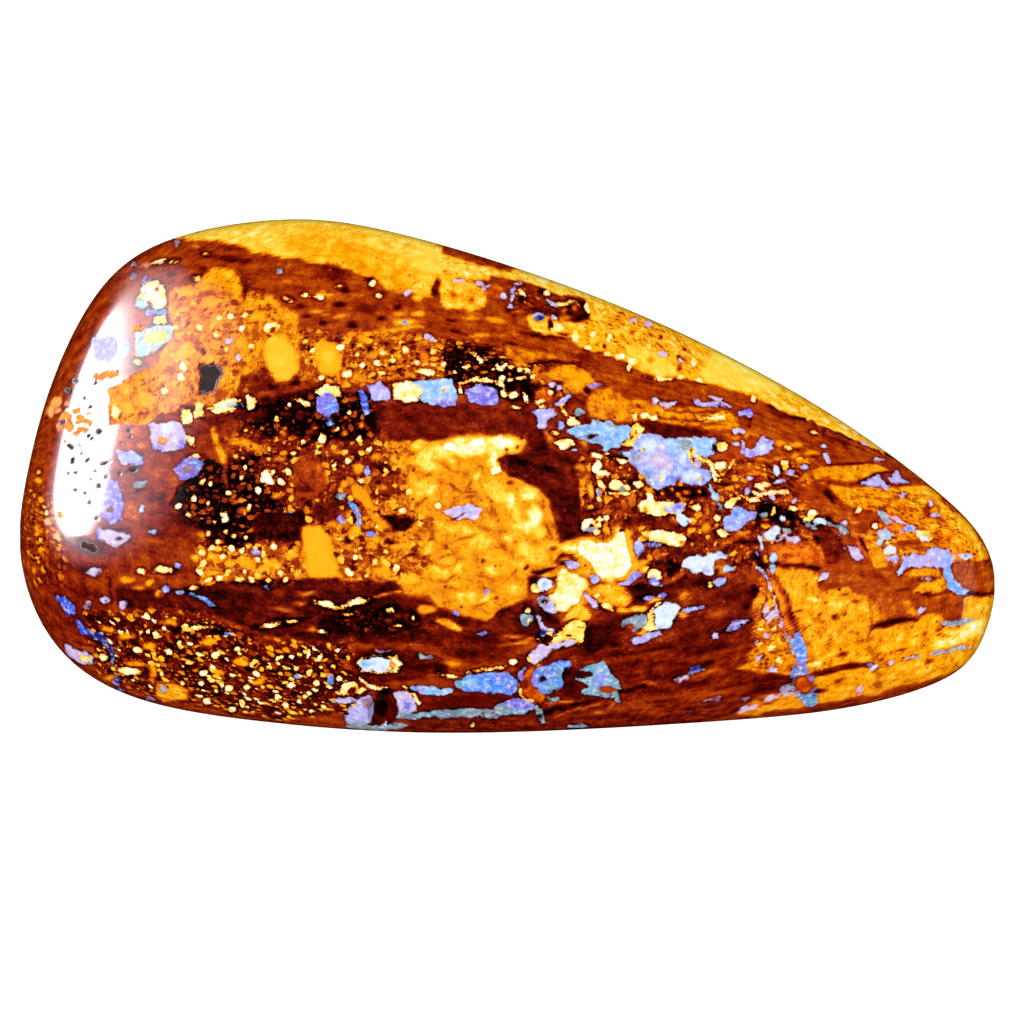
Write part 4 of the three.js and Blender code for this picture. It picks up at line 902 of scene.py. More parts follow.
patch(ICE, (7.3, -3.5), (7.7, -3.35), (8.2, -3.4), (8.4, -3.25), (8.9, -3.2), (9.2, -3.3), (8.9, -3.42), (8.6, -3.45),
      (8.5, -3.7), (8.5, -4.0), (8.0, -4.05), (7.6, -4.0), (7.3, -3.8))
glow(LAVENDER, (8.2, -3.9, 0.3, 0.12), (8.9, -3.28, 0.3, 0.1))
patch(0.5, (8.6, -3.5), (8.9, -3.45), (9.15, -3.6), (9.05, -3.8), (9.3, -4.1), (9.1, -4.25), (8.8, -4.0), (8.6, -3.75))
beads(RUST, (8.85, -3.62, 0.12, 0.08))
beads(SKY, (9.2, -3.8, 0.2, 0.16))
patch(PERIWINKLE, (8.45, -4.4), (8.7, -4.25), (9.0, -4.2), (8.95, -4.5), (8.7, -4.6))
beads(CREAM, (8.32, -4.5, 0.12, 0.08))
beads(PERIWINKLE, (7.75, -5.45, 0.28, 0.09, 15))

# Right of the opal: blue patch, white chain and the dark chain
patch(PERIWINKLE, (9.0, -1.9), (9.1, -1.7), (9.35, -1.6), (9.4, -1.35), (9.6, -1.38), (9.9, -1.5), (10.3, -1.6), (10.2, -1.77),
      (9.9, -1.85), (9.85, -2.0), (9.6, -2.15), (9.2, -2.3), (8.95, -2.3))
glow(BLUE, (9.6, -1.55, 0.25, 0.18))
glow(VIOLET, (10.2, -1.65, 0.15))
patch(CREAM, (9.0, -1.35), (9.1, -1.1), (9.3, -0.9), (9.75, -0.92), (9.5, -1.1), (9.35, -1.3), (9.15, -1.45))
streak(PALE, 0.08, (9.9, -1.0), (10.2, -1.02), (10.4, -1.08))
streak(CREAM, 0.09, (10.1, -0.75), (10.6, -0.75), (11.5, -0.65))
streak(SKY, 0.09, (8.35, -0.5), (8.55, -0.8), (8.8, -1.2))
streak(STEEL, 0.08, (8.75, -1.1), (8.9, -1.5))
beads(CREAM, (8.7, -1.85, 0.15), (8.9, -2.4, 0.22, 0.14), (8.8, 0.4, 0.2, 0.14), (10.7, -0.3, 0.2, 0.12), (10.35, -0.4, 0.14))
streak(CREAM, 0.05, (8.6, 0.0), (8.9, 0.1), (9.2, 0.3), (9.35, 0.6))
beads(BLACK, (8.85, -1.9, 0.06), (8.55, -2.35, 0.07, 0.28), (9.7, -2.75, 0.3, 0.1), (10.2, -2.7, 0.2, 0.1), (9.0, -0.3, 0.3, 0.05))
beads(LAVENDER, (9.95, -0.7, 0.1, 0.12), (10.65, -1.2, 0.12), (11.2, -0.22, 0.16, 0.07))
beads(0.62, (9.3, -0.45, 0.3, 0.07, 8), (10.1, 0.1, 0.35, 0.08, 8), (9.7, -2.45, 0.2, 0.08), (8.2, -2.2, 0.14, 0.2),
      (9.9, 0.35, 0.3, 0.06, 10))
patch(0.05, (10.3, -1.2), (10.8, -1.1), (11.6, -1.3), (12.0, -1.6), (12.5, -1.9), (13.2, -1.6), (13.5, -1.8), (13.0, -2.1),
      (12.2, -2.0), (11.6, -2.3), (11.0, -2.0), (10.3, -2.1))
patch(CREAM, (12.2, -1.8), (12.4, -1.65), (12.6, -1.42), (12.92, -1.5), (12.7, -1.8), (12.4, -1.87))
beads(CREAM, (11.0, -1.4, 0.12, 0.16, 30), (10.9, -1.55, 0.08), (11.8, -1.35, 0.14, 0.1), (10.5, -0.45, 0.12))
beads(0.5, (10.7, -1.8, 0.14, 0.1), (11.6, -1.9, 0.14, 0.1), (12.0, -1.9, 0.08))
beads(ICE, (11.4, -1.75, 0.1), (12.9, -1.85, 0.2, 0.12), (11.1, 0.15, 0.12, 0.2))
beads(PERIWINKLE, (11.7, 0.15, 0.1, 0.07), (12.3, 0.35, 0.12, 0.08))
beads(PALE, (11.5, 0.45, 0.16, 0.2), (11.6, 1.2, 0.14, 0.1), (12.1, 0.75, 0.12, 0.09))
streak(0.1, 0.05, (11.7, 1.15), (11.85, 1.35), (12.05, 1.1))
beads(AMBER, (12.6, 0.98, 0.3, 0.1), (11.9, 1.35, 0.35, 0.1), (12.2, 0.65, 0.25, 0.1), (11.3, 1.35, 0.25, 0.1), (11.9, 0.9, 0.2, 0.12))
streak(DARK, 0.04, (12.5, 0.75), (12.9, 0.8))
streak(DARK, 0.05, (10.7, 0.5), (11.0, 0.2), (11.1, -0.1))
patch(0.58, (12.5, 0.15), (13.1, 0.4), (13.9, 0.37), (15, 0.5), (15.4, 0.45), (15.9, 0.2), (15.2, 0.0), (14.6, -0.2),
      (14.0, -0.3), (13.4, -0.2), (12.8, -0.3), (12.7, -0.1))
streak(0.08, 0.05, (13.1, 0.42), (14.2, 0.44), (15.2, 0.53))
streak(0.13, 0.06, (14.2, -0.42), (15.3, 0.0), (16.25, 0.27))
streak(MAROON, 0.03, (14.55, 0.4), (14.5, 0.2))
patch(LAVENDER, (14.65, -0.3), (15.1, -0.15), (15.4, -0.03), (15.52, -0.2), (15.9, -0.4), (15.7, -0.55), (15.4, -0.4),
      (15.0, -0.4))
patch(LAVENDER, (15.9, -0.1), (16.1, 0.1), (16.2, 0.28), (16.35, -0.05), (16.7, -0.25), (16.4, -0.3), (16.0, -0.2))
beads(CREAM, (12.75, 1.8, 0.11, 0.07), (14.55, -1.4, 0.1, 0.12))
beads(LILAC, (13.15, 1.25, 0.1, 0.08), (15.45, 0.7, 0.12, 0.06), (14.85, 1.4, 0.12, 0.08))
streak(LILAC, 0.05, (13.1, 0.9), (13.4, 0.55))
streak(BLACK, 0.05, (13.2, 1.9), (13.15, 1.6))
streak(DARK, 0.06, (11.6, 2.55), (12.2, 2.3), (12.6, 2.35), (12.8, 2.15))
streak(DARK, 0.05, (13.4, 1.85), (14.0, 1.62), (14.4, 1.45))
streak(0.07, 0.12, (12.75, -0.3), (13.1, -0.65), (13.5, -1.0))
beads(VIOLET, (12.9, -0.5, 0.08, 0.14), (13.05, -0.38, 0.14, 0.07))
streak(0.36, 0.3, (11.9, -0.5), (12.6, -0.8), (13.2, -0.2))
streak(STEEL, 0.07, (13.3, -1.95), (13.8, -2.1), (14.15, -2.4))
streak(BLACK, 0.06, (13.4, -1.85), (13.9, -2.05), (14.25, -2.5))

beads(LILAC, (13.6, -2.6, 0.14, 0.08, 30), (14.0, -1.9, 0.12, 0.08), (10.9, -0.9, 0.12, 0.08), (11.9, -1.0, 0.1),
      (12.2, -3.3, 0.12, 0.07), (11.4, -2.6, 0.13, 0.08, 40), (13.8, -3.0, 0.14, 0.1), (10.0, -0.1, 0.11, 0.07))
beads(STEEL, (12.6, -2.1, 0.16, 0.08, -30), (11.7, -2.3, 0.14, 0.07), (13.9, -2.3, 0.13, 0.08), (10.6, -1.6, 0.12, 0.08))
beads(ORANGE, (11.2, 0.7, 0.3, 0.08, 15), (10.4, 0.7, 0.25, 0.08, -20), (12.2, -0.1, 0.3, 0.1, 30), (11.7, -0.9, 0.25, 0.08),
      (12.3, -1.2, 0.2, 0.08, 20), (13.6, -1.4, 0.25, 0.07, -20), (14.4, -1.9, 0.25, 0.08, -15), (13.2, -2.4, 0.2, 0.08))
beads(COPPER, (9.4, 1.1, 0.3, 0.12), (10.1, 1.9, 0.35, 0.1, -15), (11.0, 1.7, 0.3, 0.09, -15), (9.9, 0.3, 0.2, 0.1))

# Narrow end: streaky orange with pale patches
streak(DARK, 0.04, (15.05, -1.25), (15.4, -1.35), (15.7, -1.33))
streak(DARK, 0.04, (15.8, -1.2), (16.2, -1.22), (16.65, -1.37), (17.1, -1.4))
streak(0.38, 0.04, (14.3, -0.85), (15.2, -0.95), (16.2, -0.85))
streak(0.38, 0.04, (15.6, -0.6), (16.6, -0.75), (17.3, -0.85))
streak(GOLD, 0.06, (14.6, -0.95), (15.4, -1.1), (15.9, -1.05))
ring(RUST, ORANGE, 17.6, -1.4, 0.32, 0.2)
beads(LILAC, (17.72, -1.62, 0.14, 0.06), (17.6, -1.15, 0.1), (16.4, -0.75, 0.1, 0.06))
patch(STEEL, (15.3, -1.45), (15.75, -1.48), (15.78, -1.8), (16.0, -2.0), (15.7, -2.02), (15.5, -1.8))
glow((0.66, 0.74, 0.84), (15.6, -1.65, 0.25))
streak(LILAC, 0.07, (15.9, -1.75), (16.2, -1.75), (16.5, -1.95))
patch((0.72, 0.78, 0.86), (15.25, -2.35), (15.6, -2.15), (15.75, -2.3), (16.0, -2.35), (15.9, -2.6), (15.6, -2.6), (15.5, -2.85),
      (15.3, -2.75), (15.45, -2.5))
beads(CREAM, (15.75, -2.75, 0.12, 0.09), (15.2, -2.1, 0.1))
beads(PERIWINKLE, (16.7, -2.2, 0.26, 0.11, 15), (16.0, -3.38, 0.22, 0.09))
glow(BLUE, (16.75, -2.2, 0.14))
patch(CREAM, (17.0, -2.2), (17.5, -2.3), (17.6, -2.6), (17.2, -2.75), (17.0, -2.5))
beads(ICE, (17.3, -2.6, 0.15, 0.1), (15.85, -3.05, 0.22, 0.14), (18.95, -3.3, 0.3, 0.12))
glow(BLUE, (19.0, -3.25, 0.14, 0.1))
beads(YELLOW, (18.7, -2.7, 0.22, 0.16), (18.3, -2.35, 0.2, 0.14), (19.3, -2.4, 0.16, 0.1), (17.7, -2.05, 0.12, 0.09),
      (19.0, -1.9, 0.2, 0.08, -40))
beads(RUST, (16.5, -2.75, 0.5, 0.14), (17.85, -2.7, 0.35, 0.1, -15), (17.0, -3.0, 0.4, 0.08), (15.6, -3.0, 0.2, 0.06),
      (18.0, -1.8, 0.3, 0.07, -20))
beads(BLACK, (16.5, -3.6, 0.08, 0.2))
patch(LAVENDER, (16.4, -3.3), (16.8, -3.25), (17.3, -3.3), (17.4, -3.05), (17.8, -2.98), (18.2, -3.1), (18.42, -3.45),
      (18.3, -3.7), (18.2, -4.0), (18.0, -3.75), (17.4, -3.68), (16.9, -3.75), (16.6, -3.7), (16.3, -4.1), (16.15, -4.0),
      (16.4, -3.6))
beads(AMBER, (17.5, -3.48, 0.12, 0.09))
glow(PERIWINKLE, (18.1, -3.5, 0.3, 0.3))
streak((0.48, 0.68, 0.97), 0.17, (18.15, -3.7), (18.3, -4.15), (18.5, -4.5), (18.7, -4.75), (19.1, -4.85))
glow(LAVENDER, (18.1, -3.7, 0.2), (19.05, -4.85, 0.2, 0.12))
streak(ORANGE, 0.16, (14.35, -2.4), (14.65, -2.8), (14.95, -3.3))
streak(BLACK, 0.07, (14.6, -2.65), (14.75, -2.9), (14.87, -3.1))
patch(LILAC, (14.1, -3.0), (14.5, -3.0), (14.65, -3.3), (14.4, -3.5), (14.2, -3.3))
patch(0.62, (15, -3.1), (15.5, -3.0), (15.72, -3.4), (15.9, -3.7), (15.2, -3.7), (15, -3.5))
patch(0.50, (10.8, -2.9), (11.5, -2.8), (12.2, -2.6), (12.8, -2.75), (13.2, -3.3), (12.6, -3.7), (11.5, -3.6), (11.0, -3.4))
beads(GOLD, (11.5, -3.1, 0.25, 0.07), (12.3, -3.1, 0.2, 0.08), (11.9, -3.4, 0.25, 0.06), (12.3, -2.4, 0.25, 0.07))
patch(0.21, (12.6, -2.2), (13.3, -2.1), (13.9, -2.7), (14.1, -3.6), (13.2, -3.7), (13.1, -3.1), (12.8, -2.7))
beads(LILAC, (11.8, -2.6, 0.32, 0.09, 5), (13.1, -4.15, 0.16, 0.12))
patch(ICE, (10.6, -2.4), (11.0, -2.1), (11.35, -2.2), (11.15, -2.6), (10.8, -2.65))
beads(BLACK, (12.8, -2.55, 0.1))
streak(ICE, 0.06, (10.45, -2.5), (10.5, -2.8), (10.6, -3.05))
beads(VIOLET, (10.33, -3.3, 0.09, 0.14))
beads(SKY, (11.05, -3.32, 0.09, 0.15), (10.95, -3.85, 0.15, 0.14))
streak(BLACK, 0.05, (11.0, -3.55), (11.8, -3.65), (12.9, -3.88))

# Blue opal crack down to the lower edge
streak(0.07, 0.2, (10.2, -3.2), (10.7, -3.9), (11.2, -4.7))
streak(0.1, 0.3, (11.0, -4.2), (11.35, -5.0), (11.6, -5.8), (11.85, -6.7))
streak(LILAC, 0.09, (10.35, -3.75), (10.75, -4.3), (11.1, -5.15), (11.3, -5.9), (11.6, -6.7), (11.95, -7.2))
streak(CREAM, 0.05, (10.7, -4.3), (11.05, -5.1), (11.3, -6.0))
streak(0.51, 0.22, (10.75, -3.9), (11.1, -4.5), (11.42, -5.3), (11.6, -6.1), (11.82, -6.8))
streak(YELLOW, 0.07, (10.95, -4.4), (11.25, -5.1))
streak(YELLOW, 0.06, (11.5, -5.9), (11.65, -6.4))
redden(0.9, (11.1, -4.6, 0.7, 0.35, -60), (11.6, -6.0, 0.8, 0.35, -70), (12.3, -8.62, 0.5, 0.4, -50))
streak(RUST, 0.05, (11.25, -4.5), (11.6, -5.4), (11.75, -6.4))
streak(STEEL, 0.07, (11.6, -6.8), (11.75, -7.25), (12.0, -7.6))
streak(BLUE, 0.18, (11.98, -6.6), (12.1, -7.0), (12.17, -7.4), (12.2, -7.8))
streak(VIOLET, 0.09, (12.15, -7.8), (12.25, -8.15), (12.5, -8.5))
glow(NAVY, (12.45, -8.35, 0.15))
streak(0.12, 0.07, (11.85, -7.8), (11.85, -8.3), (12.1, -8.9))
patch((0.40, 0.50, 0.78), (11.85, -7.85), (12.3, -7.95), (12.75, -8.4), (12.95, -8.9), (12.8, -9.3), (12.3, -9.3), (11.9, -8.9),
      (11.75, -8.3))
beads(0.12, (12.3, -8.63, 0.46, 0.38, -50))
beads(0.50, (12.3, -8.62, 0.38, 0.3, -50))
beads(0.41, (12.32, -8.65, 0.2, 0.14, -50))
streak(0.13, 0.05, (12.45, -8.4), (12.7, -8.7), (12.72, -9.0))
streak(STEEL, 0.07, (12.05, -8.8), (12.2, -9.1), (12.4, -9.4))
patch((0.34, 0.60, 0.80), (12.3, -9.12), (12.7, -9.02), (12.85, -9.45), (12.68, -9.7), (12.4, -9.55))
glow(NAVY, (12.72, -9.12, 0.12))
streak(STEEL, 0.06, (11.4, -8.75), (11.7, -8.72), (11.95, -8.7))
beads(LILAC, (11.5, -8.97, 0.16, 0.07))
beads(0.13, (12.95, -8.95, 0.3, 0.12))
streak(0.2, 0.14, (12.7, -8.25), (13.4, -8.1), (14.1, -7.9), (15.0, -7.85))
streak(0.1, 0.05, (12.8, -8.35), (13.4, -8.22), (14.0, -8.0))
patch(MAROON, (10.2, -8.3), (10.8, -8.22), (11.75, -8.35), (11.8, -8.55), (11.4, -8.75), (10.9, -8.93), (10.3, -9.15))

# The amber block right of the crack and the lower right end
beads(CREAM, (10.5, -4.75, 0.12, 0.09), (10.45, -6.3, 0.14, 0.1), (10.9, -7.15, 0.16, 0.1), (11.25, -7.65, 0.12), (10.7, -5.5, 0.11),
      (10.35, -6.9, 0.13, 0.1), (11.05, -6.3, 0.11), (12.9, -4.3, 0.12, 0.08))
beads(LILAC, (10.95, -5.75, 0.1, 0.2), (10.7, -6.6, 0.12, 0.09), (11.0, -8.0, 0.14, 0.09), (10.4, -7.5, 0.1))
redden(0.8, (11.9, -3.2, 1.6, 0.7, -5), (10.4, -4.6, 0.5, 0.5), (13.5, -3.5, 1.4, 0.5), (9.6, -2.0, 1.0, 0.6), (14.6, -2.8, 0.6, 0.5))
redden(0.7, (10.6, -0.4, 1.8, 0.9, -10), (9.4, 0.9, 1.0, 0.5), (12.4, -0.8, 1.4, 0.7), (16.0, -1.9, 2.2, 0.8, -20), (18.3, -2.5, 1.2, 0.6, -35))
streak(RUST, 0.05, (15.0, -5.1), (15.1, -5.8), (15.15, -6.3), (14.92, -6.7), (14.95, -7.2), (15.15, -7.5), (15.08, -7.9))
streak(MAROON, 0.07, (15.3, -8.0), (15.42, -8.4), (15.5, -8.85))
beads(NAVY, (14.95, -7.85, 0.1))
beads(ICE, (15.2, -7.97, 0.15, 0.13))
streak(0.07, 0.1, (15.1, -6.27), (16.0, -6.1), (17.05, -5.88))
patch(0.60, (16.8, -4.75), (17.3, -4.4), (17.9, -4.2), (18.2, -4.1), (18.35, -4.65), (17.8, -4.83), (17.2, -4.85))
patch(0.60, (16.55, -3.95), (17.2, -3.75), (17.9, -3.8), (17.95, -4.1), (17.2, -4.1), (16.8, -4.2))
beads(STEEL, (17.4, -4.2, 0.16, 0.06))
streak(0.06, 0.05, (17.0, -4.87), (17.7, -4.85), (18.4, -4.77))
streak(0.09, 0.09, (19.0, -4.93), (19.6, -4.9), (20.35, -4.82))
beads(GOLD, (20.1, -4.4, 0.14, 0.1), (16.85, -5.57, 0.16, 0.07), (16.6, -5.25, 0.12, 0.05))
beads(LILAC, (17.15, -5.5, 0.14, 0.1), (11.0, -9.2, 0.22, 0.09, 20))
streak(0.14, 0.06, (16.2, -4.8), (16.9, -4.72))
streak(STEEL, 0.05, (16.4, -7.65), (16.8, -7.57), (17.05, -7.58))
streak(STEEL, 0.07, (17.5, -7.42), (18.3, -7.32), (18.9, -7.15), (19.3, -7.1))
streak(RUST, 0.05, (18.2, -7.4), (18.45, -7.75), (18.7, -8.1))
# The first three ovals paint the lower right end pale cream: partly the stone's own pale tone, partly a painted sheen
shade(0.91, 0.9, (18.7, -6.6, 1.4, 0.4, 12), (19.5, -6.2, 0.7, 0.6), (18.2, -7.0, 0.9, 0.25, 10), (17.4, -8.0, 0.4, 0.25), (15.2, -8.4, 0.2),
      (12.8, -7.85, 0.25, 0.18), (12.7, -5.1, 0.4, 0.15), (16.0, -8.35, 0.16))
shade(GOLD, 0.9, (12.2, -4.6, 0.7, 0.4), (13.8, -5.4, 0.9, 0.4), (17.0, -7.9, 1.2, 0.3), (13.0, -7.0, 0.5, 0.3),
      (18.7, -7.5, 0.7, 0.3), (19.7, -5.4, 0.5, 0.3), (16.4, -6.8, 0.7, 0.25))
beads(LILAC, (14.6, -8.9, 0.12, 0.18), (15.9, -7.8, 0.15, 0.1))
streak(STEEL, 0.08, (18.0, -6.15), (18.8, -6.05), (19.6, -5.95))
beads(0.16, (13.5, -5.8, 0.13, 0.11), (14.4, -5.2, 0.16, 0.05), (12.3, -6.3, 0.07), (13.0, -6.1, 0.07, 0.04), (13.9, -5.7, 0.08),
      (12.9, -5.7, 0.07), (14.3, -6.5, 0.12, 0.04), (12.1, -5.6, 0.12, 0.05), (13.9, -7.4, 0.16, 0.08), (12.5, -7.7, 0.08),
      (12.4, -6.9, 0.08, 0.12), (13.4, -6.8, 0.05, 0.16), (15.35, -7.4, 0.07), (15.5, -7.63, 0.09), (16.35, -7.2, 0.15, 0.06),
      (17.3, -6.55, 0.08), (17.9, -6.45, 0.1, 0.07), (18.1, -6.25, 0.07), (18.05, -6.65, 0.3, 0.04), (17.5, -7.8, 0.1, 0.13),
      (13.75, -8.5, 0.16, 0.09), (14.2, -8.0, 0.2, 0.06), (16.8, -6.3, 0.06), (11.1, -5.6, 0.06), (10.6, -7.9, 0.1, 0.07),
      (12.4, -4.5, 0.06), (14.0, -4.95, 0.1, 0.03), (16.3, -8.5, 0.06), (10.6, -9.3, 0.09, 0.06), (10.85, -9.45, 0.1, 0.05))
streak(0.30, 0.2, (9.0, -10.2), (11, -9.95), (13, -9.7), (15, -9.35), (16.5, -8.95), (17.8, -8.6))

# Upper right: grains between the yellow rim and the rust band
smooth(0.35, (-14, 9.9), (-11, 9.5), (-8, 8.9), (-5, 8.0), (-3, 8.0), (-2.5, 9.5), (-8, 11.5), (-14, 11))
streak(YELLOW, 0.24, (0.9, 8.35), (1.7, 8.05), (2.5, 7.75), (3.4, 7.42))
shade(PALE, 0.9, (1.3, 8.25, 0.5, 0.18, -20))
shade(ORANGE, 0.6, (0.4, 8.4, 0.6, 0.3, -15), (4.2, 7.15, 0.7, 0.16, -22), (6.8, 6.1, 1.2, 0.2, -25), (12.6, 3.0, 1.8, 0.25, -30),
      (5.3, 6.6, 0.5, 0.25), (6.2, 5.9, 0.4, 0.2), (4.2, 6.4, 0.4, 0.3))
patch(0.28, (0.0, 7.95), (0.75, 7.9), (1.4, 7.72), (1.6, 7.8), (2.1, 7.55), (2.7, 7.4), (2.5, 7.25), (2.0, 7.2), (1.5, 7.4),
      (0.9, 7.55), (0.3, 7.75))
beads(BLACK, (1.45, 7.65, 0.12, 0.1), (3.1, 7.03, 0.08, 0.12), (2.55, 7.0, 0.07), (0.6, 7.2, 0.08))
streak(CREAM, 0.08, (0.45, 7.67), (0.6, 7.5), (0.8, 7.35))
beads(VIOLET, (0.2, 7.65, 0.12))
beads(LILAC, (0.12, 6.93, 0.16, 0.12), (0.2, 7.3, 0.1), (0.45, 7.95, 0.14, 0.06))
beads(CREAM, (1.68, 7.65, 0.09), (2.3, 7.15, 0.3, 0.08), (3.25, 6.88, 0.12, 0.18))
streak(LILAC, 0.06, (1.65, 7.35), (1.85, 7.2), (2.0, 7.1))
patch(0.19, (-0.2, 6.95), (0.8, 6.9), (1.6, 7.0), (3.1, 6.9), (3.4, 6.5), (3.0, 6.35), (1.7, 6.65), (0.9, 6.65), (0.2, 6.6))
beads(0.5, (2.35, 6.6, 0.25, 0.14), (2.35, 6.9, 0.09), (0.4, 6.75, 0.3, 0.06), (2.75, 6.95, 0.1))
beads(0.07, (3.15, 6.55, 0.28, 0.12), (2.6, 6.75, 0.14, 0.07))
ring(LAVENDER, NAVY, 1.3, 6.5, 0.18, 0.07)
patch(0.80, (0.8, 6.45), (0.85, 6.6), (1.05, 6.55), (1.15, 6.32), (1.45, 6.3), (1.6, 6.15), (1.55, 5.97), (1.2, 5.93),
      (1.0, 6.05), (0.85, 6.3))
beads(0.06, (1.7, 6.25, 0.1, 0.2))
patch(PALE, (1.8, 6.45), (2.1, 6.4), (2.35, 6.2), (2.1, 6.03), (1.75, 5.97), (1.7, 6.05), (1.85, 6.2))
patch(0.72, (2.3, 6.35), (2.7, 6.35), (3.0, 6.2), (2.85, 6.0), (2.4, 6.1))
beads(LILAC, (1.9, 6.6, 0.1, 0.07), (6.5, 5.1, 0.12), (7.2, 4.8, 0.12, 0.09), (5.85, 6.35, 0.12, 0.08), (5.3, 6.5, 0.1))
beads(0.08, (2.4, 5.85, 0.12, 0.05), (2.2, 5.9, 0.1, 0.04), (3.75, 5.1, 0.2, 0.06), (4.0, 5.4, 0.08, 0.1), (7.35, 5.2, 0.1, 0.06),
      (7.1, 4.95, 0.08), (4.75, 6.8, 0.12, 0.06), (6.45, 5.8, 0.08))
streak(0.11, 0.05, (0.6, 5.9), (1.6, 5.8), (2.6, 5.68))
beads(CREAM, (2.82, 5.8, 0.13, 0.2, 25), (3.3, 5.33, 0.14, 0.11), (4.12, 5.03, 0.13), (4.6, 4.92, 0.16, 0.11),
      (5.2, 4.7, 0.18, 0.14), (5.05, 4.47, 0.09, 0.12), (8.0, 3.95, 0.2, 0.1, -10), (6.45, 4.08, 0.32, 0.06), (7.3, 4.1, 0.16, 0.09),
      (7.75, 4.75, 0.15), (5.95, 5.37, 0.12, 0.1), (4.1, 6.85, 0.09), (5.8, 4.6, 0.1), (4.3, 5.7, 0.12), (3.5, 5.9, 0.14, 0.08))
beads(YELLOW, (3.85, 7.1, 0.26, 0.12, -15), (5.0, 5.9, 0.12, 0.2), (4.6, 5.95, 0.25, 0.12), (3.7, 6.55, 0.3, 0.12), (3.6, 5.7, 0.2, 0.12))
patch(0.79, (4.85, 5.45), (5.3, 5.37), (5.9, 5.35), (6.3, 5.1), (6.6, 4.9), (6.85, 4.6), (7.1, 4.25), (6.5, 4.22), (6, 4.28),
      (5.6, 4.5), (5.4, 4.72), (5.0, 5.0), (4.8, 5.2))
beads(ORANGE, (5.95, 4.8, 0.2, 0.12), (7.3, 4.9, 0.2, 0.12), (8.8, 4.05, 0.14, 0.1), (10.0, 3.55, 0.14, 0.08), (7.9, 5.3, 0.25, 0.1, -20))
beads(RUST, (7.1, 4.48, 0.09, 0.14), (4.6, 6.5, 0.14, 0.06), (5.3, 6.0, 0.14, 0.06))
patch(0.79, (8.0, 4.3), (8.5, 4.75), (8.7, 5.2), (9.0, 5.1), (10.4, 4.45), (11.3, 4.0), (11.3, 3.5), (10.9, 3.15), (10.2, 3.42),
      (9.4, 3.62), (8.6, 3.85), (8.1, 3.95))
shade(0.84, 0.9, (9.8, 4.55, 1.4, 0.3, -25), (10.5, 3.85, 0.7, 0.22, -20))
smooth(0.75, (8.0, 4.3), (8.6, 5.2), (10.4, 4.5), (11.3, 4.0), (11.3, 3.5), (10.2, 3.5), (8.1, 4.0))
smooth(0.75, (4.85, 5.45), (6.3, 5.1), (7.1, 4.3), (6, 4.3), (5.0, 5.0))
beads(PALE, (12.3, 2.75, 0.14, 0.1), (14.1, 1.95, 0.3, 0.12, -35), (13.3, 2.15, 0.22, 0.12, -20), (14.5, 1.65, 0.2, 0.09),
      (15.4, 1.22, 0.4, 0.09, -30), (12.7, 2.4, 0.2, 0.08), (11.3, 2.95, 0.25, 0.1))
streak(YELLOW, 0.12, (11.0, 3.1), (12.2, 2.65), (13.2, 2.2), (14.2, 1.75), (15.2, 1.3))
shade(0.40, 0.9, (16.9, 0.1, 1.3, 0.2, -38), (18.5, -1.3, 1.0, 0.2, -42))

# Layers under the rust band
patch(0.47, (-0.2, 5.6), (0.3, 5.32), (1.0, 5.22), (1.7, 5.03), (2.0, 4.93), (2.9, 4.87), (2.95, 4.62), (2, 4.62), (1, 4.68),
      (0, 4.85))
streak(0.09, 0.05, (-0.2, 5.42), (0.4, 5.36))
streak(BLACK, 0.055, (0.75, 4.65), (1.5, 4.73), (2.2, 4.66), (3.0, 4.66))
patch(0.55, (1.0, 4.55), (1.6, 4.45), (2.4, 4.55), (3.0, 4.4), (3.4, 4.2), (3.9, 3.7), (3.9, 3.4), (2.6, 3.5), (1.6, 3.7), (0.9, 3.9))
beads(0.22, (1.6, 4.35, 0.25, 0.1), (2.1, 3.8, 0.25, 0.12), (1.3, 4.3, 0.1))
beads(0.66, (2.6, 4.2, 0.3, 0.16), (3.2, 4.05, 0.35, 0.16, -25), (0.4, 4.65, 0.25, 0.1), (2.9, 3.8, 0.2))
beads(CREAM, (0.1, 4.5, 0.12, 0.09), (0.45, 4.42, 0.12), (0.8, 4.38, 0.1, 0.12), (0.5, 4.02, 0.22, 0.07), (1.4, 3.9, 0.16, 0.06, -30),
      (0.95, 4.1, 0.08), (0.1, 3.95, 0.08))
beads(BLACK, (3.35, 3.55, 0.14, 0.1), (0.3, 3.85, 0.3, 0.08), (0.75, 3.85, 0.14), (-0.3, 4.2, 0.2, 0.08))
beads(VIOLET, (3.7, 3.77, 0.15, 0.06))
beads(LILAC, (1.8, 3.75, 0.12, 0.08), (2.1, 3.6, 0.1))

# Below the amber mass: cream chain, blue patches and the smooth rust slab
patch(0.22, (-2.5, -6.3), (-0.9, -6.1), (0, -5.7), (0.2, -6.3), (0, -7.5), (-1.4, -7.8), (-2.6, -7.4))
shade(0.14, 0.7, (-1.5, -7.3, 0.9, 0.2), (1.0, -6.6, 0.7, 0.2))
patch(LILAC, (0.8, -7.6), (1.0, -7.35), (1.25, -7.1), (1.45, -7.0), (1.75, -7.0), (1.95, -7.1), (1.6, -7.45), (1.3, -7.62),
      (1.1, -7.85))
streak(LILAC, 0.12, (1.8, -7.05), (2.3, -6.85), (2.85, -6.85))
patch(0.85, (1.7, -6.9), (2.0, -6.5), (2.3, -6.2), (2.8, -5.98), (3.3, -6.1), (3.2, -6.5), (3.1, -6.9), (2.9, -6.97), (2.6, -6.72),
      (2.2, -6.8))
beads(0.1, (2.55, -6.55, 0.14, 0.08), (2.8, -6.75, 0.08), (3.0, -6.3, 0.1, 0.05))
patch(0.76, (2.2, -5.95), (2.5, -5.62), (3.0, -5.4), (3.4, -5.55), (3.5, -5.8), (3.3, -6.0), (2.8, -5.95))
